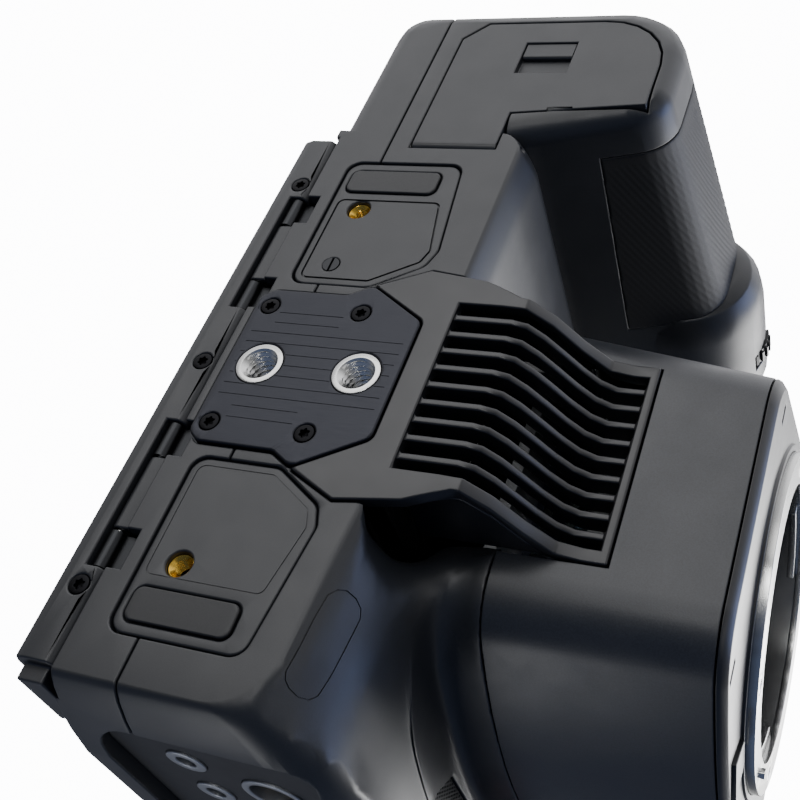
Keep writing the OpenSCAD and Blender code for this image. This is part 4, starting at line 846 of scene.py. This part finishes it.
def surface_line(node, points_mm, width_mm, depth_mm, name, closed=True):
    """Cuts a thin line into a rounded copy, through the places nearest to the points."""
    piece = rounded(node)
    tree = BVHTree.FromObject(piece, bpy.context.evaluated_depsgraph_get())
    spots = [tree.find_nearest(Vector(point) * MM)[:2] for point in points_mm]
    work = bmesh.new()
    rings = []
    count = len(spots)
    for k, (place, normal) in enumerate(spots):
        before = spots[(k - 1) % count if closed else max(k - 1, 0)][0]
        after = spots[(k + 1) % count if closed else min(k + 1, count - 1)][0]
        side = normal.cross(after - before).normalized() * (width_mm / 2 * MM)
        deep, proud = normal * -depth_mm * MM, normal * CUTTER_OUT_MM * MM
        square = (side + deep, side + proud, proud - side, deep - side)
        rings.append([work.verts.new(place + corner) for corner in square])
    for k in range(count if closed else count - 1):
        one, two = rings[k], rings[(k + 1) % count]
        for j in range(4):
            work.faces.new((one[j], one[(j + 1) % 4], two[(j + 1) % 4], two[j]))
    if not closed:
        work.faces.new(rings[0])
        work.faces.new(reversed(rings[-1]))
    cut_with(piece, work, name)


surface_line("front_shell", PAD_MM, width_mm=0.22, depth_mm=0.25, name="pad_line")
surface_line("battery_door", DOOR_SLOT_MM, width_mm=1.0, depth_mm=0.7, name="door_slot",
             closed=False)
print("surface lines: 2")

# %% [markdown]
# ## Details on the port side
# The sockets get what a plug meets: three pins in each sound socket, two in the power
# socket, and a tongue in each data socket. They are pieces of their own that stand inside
# the sockets, so nothing in the CAD piece has to change.

# %% Socket insides
PIN_TIP_X_MM, PIN_ROW_Y_MM, PIN_LENGTH_MM = 64.6, -3, 4.2
PIN_SHOULDER_MM, PIN_TIP_SHARE = 0.3, 0.6
SOUND_Z_MM, SOUND_CIRCLE_MM, SOUND_PIN_MM = (27, 44), 2.1, 0.55  # heights, radius, radius
SOUND_PIN_ANGLES = [math.radians(degrees) for degrees in (90, 210, 330)]
POWER_Z_MM, POWER_HALF_MM, POWER_PIN_MM = 61, 1.5, 0.5
TONGUE_X_MM, TONGUE_Y_MM, TONGUE_LENGTH_MM, TONGUE_EDGE_MM = 63.2, 12, 5.4, 0.2
TONGUES_MM = ((50, 9.0, 1.1), (66, 5.5, 0.8))  # height in the body, width, thickness


def pin(work, y, z, radius_mm):
    """A pin whose round tip points out of the socket."""
    join_rings(work, [plain(radius_mm, PIN_LENGTH_MM), plain(radius_mm, PIN_SHOULDER_MM),
                      plain(radius_mm * PIN_TIP_SHARE, FLUSH_MM)],
               at_mm(PIN_TIP_X_MM, y, z, Vector((-1, 0, 0))))


work = bmesh.new()
for z in SOUND_Z_MM:
    for angle in SOUND_PIN_ANGLES:
        pin(work, PIN_ROW_Y_MM + SOUND_CIRCLE_MM * math.cos(angle),
            z + SOUND_CIRCLE_MM * math.sin(angle), SOUND_PIN_MM)
for side in (-1, 1):
    pin(work, PIN_ROW_Y_MM + POWER_HALF_MM * side, POWER_Z_MM, POWER_PIN_MM)
add_piece("socket_pins", work, "port_sockets", BRASS, replaces=False)

work = bmesh.new()
for z, width, thickness in TONGUES_MM:
    add_box(work, (TONGUE_LENGTH_MM, width, thickness), (TONGUE_X_MM, TONGUE_Y_MM, z))
bmesh.ops.bevel(work, geom=work.edges[:], offset=TONGUE_EDGE_MM * MM, segments=2,
                affect="EDGES")
add_piece("data_tongues", work, "port_sockets", INSIDE, replaces=False)
print("socket details: 2")

# %% [markdown]
# ## The microphone and the buttons
# The microphone sits behind a sheet of fine round holes. They are cut for real, in rows
# that are shifted by half a pitch, as a punching tool makes them.

# %% Sheet of fine holes
HOLE_PITCH_MM = 0.85
ROW_PITCH_MM = HOLE_PITCH_MM * 0.866  # rows of a triangle pattern lie closer
HOLE_RADIUS_MM, HOLE_SIDES, HOLE_CUTTER_MM = 0.27, 8, 3
SHEET_EDGE_MM = 0.05

sheet = rounded_copy("mic_mesh", SHEET_EDGE_MM, segments=1)
low, high = box_mm("mic_mesh")
row_count = int((high.z - low.z) / ROW_PITCH_MM) + 1
column_count = int((high.x - low.x) / HOLE_PITCH_MM) + 1
work = bmesh.new()
for row in range(row_count):
    for column in range(column_count):
        x = low.x + HOLE_PITCH_MM * (column + 0.5 * (row % 2))
        hole = bmesh.ops.create_cone(work, cap_ends=True, segments=HOLE_SIDES,
                                     radius1=HOLE_RADIUS_MM * MM,
                                     radius2=HOLE_RADIUS_MM * MM,
                                     depth=HOLE_CUTTER_MM * MM)["verts"]
        bmesh.ops.rotate(work, verts=hole, cent=Vector(),
                         matrix=Matrix.Rotation(math.pi / 2, 3, "X"))
        place = Vector((x, (low.y + high.y) / 2, low.z + ROW_PITCH_MM * row))
        bmesh.ops.translate(work, verts=hole, vec=place * MM)
cut_with(sheet, work, "holes")
print("rows of holes:", row_count, "holes in a row:", column_count)

# %% [markdown]
# The buttons are moulded with soft edges. A wide bevel of three segments makes theirs
# round, while the switch and the socket plate keep a narrow one.

# %% Soft buttons and the socket plate
BUTTON_EDGE_MM = 0.45
SMALL_EDGES_MM = {"power_switch": 0.3, "port_frame": 0.2, "port_sockets": 0.2}

buttons = [name for name in NODES if "_button" in name and name != "release_button"]
for name in buttons:
    rounded_copy(name, BUTTON_EDGE_MM, segments=3)
for name, edge in SMALL_EDGES_MM.items():
    rounded_copy(name, edge)
print("buttons:", len(buttons))

# %% [markdown]
# ## Screws of the bayonet ring
# The ring's screws are one CAD piece of several bodies. Their places are measured: from
# one point, walking along edges finds every point of the same body, and then the next body
# starts from a point that is left.

# %% Screws of the bayonet ring
RING_HEAD_MM = 1.0


def islands(node):
    """The lowest and the highest corner of each separate body in a CAD node, in mm."""
    work = bmesh.new()
    work.from_mesh(NODES[node].data)
    bmesh.ops.remove_doubles(work, verts=work.verts, dist=WELD_MM * MM)
    left, found = set(work.verts), []
    while left:
        to_visit, group = [left.pop()], []
        while to_visit:
            vertex = to_visit.pop()
            group.append(vertex.co / MM)
            near = [e.other_vert(vertex) for e in vertex.link_edges]
            to_visit += [v for v in near if v in left]
            left.difference_update(near)
        found.append(corners_of(group))
    work.free()
    return sorted(found, key=lambda pair: tuple(pair[0]))


ring_screws = islands("ring_screws")
work = bmesh.new()
for low, high in ring_screws:
    middle, width = (low + high) / 2, high.x - low.x
    lobed_screw(work, at_mm(middle.x, low.y, middle.z, Vector((0, 1, 0))), width / 2,
                RING_HEAD_MM, width / 4, high.y - low.y)
add_piece("ring_screws_lobed", work, "ring_screws")
print("ring screws:", len(ring_screws))

# %% [markdown]
# ## Ribbed rubber
# The rubber skin of the grip has low ribs that climb it at a slant. The skin is rebuilt as
# an even fine mesh, which also softens its edges. The ribs have to keep their pitch round
# the corners, so the way along the outside is measured first, as seen from above.

# %% An even skin, and the way round it
VOXEL_MM = 0.32
RELAX_ROUNDS = 3
WALK_STEPS = 72


def even_copy(node):
    """A copy of a CAD node as an even mesh, with every edge softened a little."""
    mesh = NODES[node].data.copy()
    piece = bpy.data.objects.new(node + "_even", mesh)
    bpy.context.scene.collection.objects.link(piece)
    remesh = piece.modifiers.new("skin", "REMESH")
    remesh.mode = "VOXEL"
    remesh.voxel_size = VOXEL_MM * MM
    smooth = piece.modifiers.new("relax", "SMOOTH")
    smooth.iterations = RELAX_ROUNDS
    applied(piece)
    for face in piece.data.polygons:
        face.use_smooth = True
    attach(piece, NODES[node]["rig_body"])
    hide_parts(node)
    return piece


def turn_share(x, y):
    """The direction of a place, as a share of a whole turn."""
    return math.atan2(y, x) / (2 * math.pi) % 1


def way_round(piece, centre_mm):
    """For each step of a turn, the distance walked along the outside so far, in mm."""
    reach = [0.0] * WALK_STEPS
    for vertex in piece.data.vertices:
        x, y = vertex.co.x / MM - centre_mm[0], vertex.co.y / MM - centre_mm[1]
        step = int(turn_share(x, y) * WALK_STEPS) % WALK_STEPS
        reach[step] = max(reach[step], math.hypot(x, y))
    step_angle = 2 * math.pi / WALK_STEPS
    walked = [0.0]
    for k in range(WALK_STEPS):
        first, then = reach[k], reach[(k + 1) % WALK_STEPS] or reach[k]
        walked.append(walked[-1] + math.sqrt(first ** 2 + then ** 2 -
                                             2 * first * then * math.cos(step_angle)))
    return walked


skin = even_copy("grip_rubber")
grip_low, grip_high = box_mm("grip_rubber")
centre = ((grip_low.x + grip_high.x) / 2, (grip_low.y + grip_high.y) / 2)
walked = way_round(skin, centre)
print("way round the grip: %.0f mm" % walked[-1])

# %% [markdown]
# Each point now moves inwards along its normal by a wave of that way. The wave leans, fades
# toward the top and the bottom, and is weaker on the side that faces the body. Nothing
# moves outwards, so the grip keeps its size.

# %% Ribs on the grip
RIB_PITCH_MM = 1.35
RIB_DEPTH_MM = 0.16
RIB_LEAN = math.radians(30)
RIB_FREE_MM, RIB_FADE_MM = 1.5, 2
UPRIGHT_BELOW = 0.3  # the square of a normal's z: faces that look up or down stay smooth
LEAST_SHARE, SIDE_SHARE, SHARE_SLOPE = 0.25, 0.6, 0.8  # of the depth, by the face's x


def clamp(value, least=0, most=1):
    """A value kept between two others."""
    return min(most, max(least, value))


normals = [vertex.normal.copy() for vertex in skin.data.vertices]
for vertex, normal in zip(skin.data.vertices, normals):
    if normal.z ** 2 < UPRIGHT_BELOW:
        x, y, height = (value / MM for value in vertex.co)
        fade = (clamp((height - grip_low.z - RIB_FREE_MM) / RIB_FADE_MM) *
                clamp((grip_high.z - RIB_FREE_MM - height) / RIB_FADE_MM))
        step = turn_share(x - centre[0], y - centre[1]) * WALK_STEPS
        before, after = walked[int(step)], walked[int(step) + 1]
        along = before + (after - before) * (step - int(step))
        phase = (along * math.cos(RIB_LEAN) + height * math.sin(RIB_LEAN)) / RIB_PITCH_MM
        wave = 0.5 - 0.5 * math.cos(2 * math.pi * phase)
        outward = clamp(SIDE_SHARE - normal.x * SHARE_SLOPE, LEAST_SHARE)
        vertex.co -= normal * wave * fade * outward * RIB_DEPTH_MM * MM
print("grip skin:", len(skin.data.polygons), "faces")

# %% [markdown]
# ## Studio
# Black plastic shows its shape only by what it mirrors. Large soft lights stand below and
# above, because the object is looked at from both sides. A narrow one from below draws the
# ridge of the neck, and a bluish one in front cools the slopes.

# %% Lights
LIGHTS = (  # name, place in mm, aim in mm, width and height in mm, watts, colour
    ("key_below", (-350, 250, -800), (0, 0, 20), (700, 700), 2.4, "#ffffff"),
    ("ridge_below", (140, -70, -900), (0, 0, 0), (120, 350), 1.2, "#ffffff"),
    ("cool_front", (-300, -900, 220), (20, -20, 20), (600, 400), 3.0, "#a9c0ff"),
    ("front_below", (120, -700, -350), (0, -20, 30), (500, 400), 0.4, "#ffffff"),
    ("side_port", (700, 250, 250), (0, 0, 50), (300, 400), 0.8, "#ffffff"),
    ("key_above", (-250, -500, 700), (0, 0, 50), (600, 600), 9, "#ffffff"),
    ("rim_above", (-500, 500, 600), (0, 0, 60), (500, 500), 6, "#ffffff"),
)


def soft_light(name, place_mm, aim_mm, size_mm, watts, colour):
    """A rectangle of light that faces its aim. The eye doesn't see the rectangle."""
    data = bpy.data.lights.new(name, "AREA")
    data.shape = "RECTANGLE"
    data.size, data.size_y = size_mm[0] * MM, size_mm[1] * MM
    data.energy = watts
    data.color = linear(colour)[:3]
    light = bpy.data.objects.new(name, data)
    bpy.context.scene.collection.objects.link(light)
    place = Vector(place_mm) * MM
    light.location = place
    light.rotation_euler = (Vector(aim_mm) * MM - place).to_track_quat("-Z", "Y").to_euler()
    light.visible_camera = False


for light in LIGHTS:
    soft_light(*light)
print("lights:", len(LIGHTS))

# %% [markdown]
# The eye sees a nearly white backdrop. What the object mirrors is something else: the
# surroundings are bright on the grip's side and fall off toward the port side, where they
# also turn from a neutral grey to a cool blue.

# %% Surroundings
BACKDROP, BACKDROP_STRENGTH = "#fcfcff", 14.0
NEUTRAL, COOL, COOL_FROM = "#e9e9ec", "#98abd8", 0.6
BRIGHT_X, DIM_X = -1.0, -0.1  # x of the directions where the fall-off starts and ends
BRIGHT_STRENGTH, DIM_STRENGTH = 2.0, 0.28

world = bpy.data.worlds.new("pale_studio")
bpy.context.scene.world = world
world.use_nodes = True
join = world.node_tree.links.new
surround = world.node_tree.nodes["Background"]
way = add_node(world, "ShaderNodeTexCoord")
axes = add_node(world, "ShaderNodeSeparateXYZ", {}, {"Vector": way.outputs["Generated"]})
fall_off = add_node(world, "ShaderNodeMapRange", {"interpolation_type": "SMOOTHSTEP"},
                    {"Value": axes.outputs["X"], "From Min": BRIGHT_X, "From Max": DIM_X,
                     "To Min": BRIGHT_STRENGTH, "To Max": DIM_STRENGTH})
join(fall_off.outputs["Result"], surround.inputs["Strength"])
hue = add_node(world, "ShaderNodeValToRGB", {}, {"Fac": axes.outputs["X"]})
hue.color_ramp.elements[0].color = linear(NEUTRAL)
hue.color_ramp.elements[1].color = linear(COOL)
hue.color_ramp.elements[1].position = COOL_FROM
join(hue.outputs["Color"], surround.inputs["Color"])
backdrop = add_node(world, "ShaderNodeBackground", {},
                    {"Color": linear(BACKDROP), "Strength": BACKDROP_STRENGTH})
ray = add_node(world, "ShaderNodeLightPath")
either = add_node(world, "ShaderNodeMixShader", {}, {"Fac": ray.outputs["Is Camera Ray"]})
join(surround.outputs[0], either.inputs[1])
join(backdrop.outputs[0], either.inputs[2])
join(either.outputs[0], world.node_tree.nodes["World Output"].inputs[0])
print("surroundings: strength", BRIGHT_STRENGTH, "to", DIM_STRENGTH)

# %% [markdown]
# The floor is a sheet of white paper. It is seen only from above, so that the eye below it
# still sees the underside, and it casts no shadow upwards.

# %% Floor
FLOOR_REACH = 3.0
FLOOR_GAP_MM = 0.05

floor_mesh = bpy.data.meshes.new("studio_floor")
floor_mesh.from_pydata([(-FLOOR_REACH, -FLOOR_REACH, 0), (FLOOR_REACH, -FLOOR_REACH, 0),
                        (FLOOR_REACH, FLOOR_REACH, 0), (-FLOOR_REACH, FLOOR_REACH, 0)],
                       [], [(0, 1, 2, 3)])
floor = bpy.data.objects.new("studio_floor", floor_mesh)
bpy.context.scene.collection.objects.link(floor)
floor.location.z = CAD_BOUNDS[0][2] - FLOOR_GAP_MM * MM
floor_finish, floor_shader = new_material("studio_paper", "#e9e9ec", 0.9)
join = floor_finish.node_tree.links.new
side_seen = add_node(floor_finish, "ShaderNodeNewGeometry")
clear = add_node(floor_finish, "ShaderNodeBsdfTransparent")
either = add_node(floor_finish, "ShaderNodeMixShader", {},
                  {"Fac": side_seen.outputs["Backfacing"]})
join(floor_shader.outputs[0], either.inputs[1])
join(clear.outputs[0], either.inputs[2])
join(either.outputs[0], floor_finish.node_tree.nodes["Material Output"].inputs["Surface"])
floor_mesh.materials.append(floor_finish)
floor.visible_shadow = False
floor.visible_diffuse = False
floor.visible_glossy = False
floor.visible_transmission = False
print("floor at z %.2f mm" % (floor.location.z / MM))
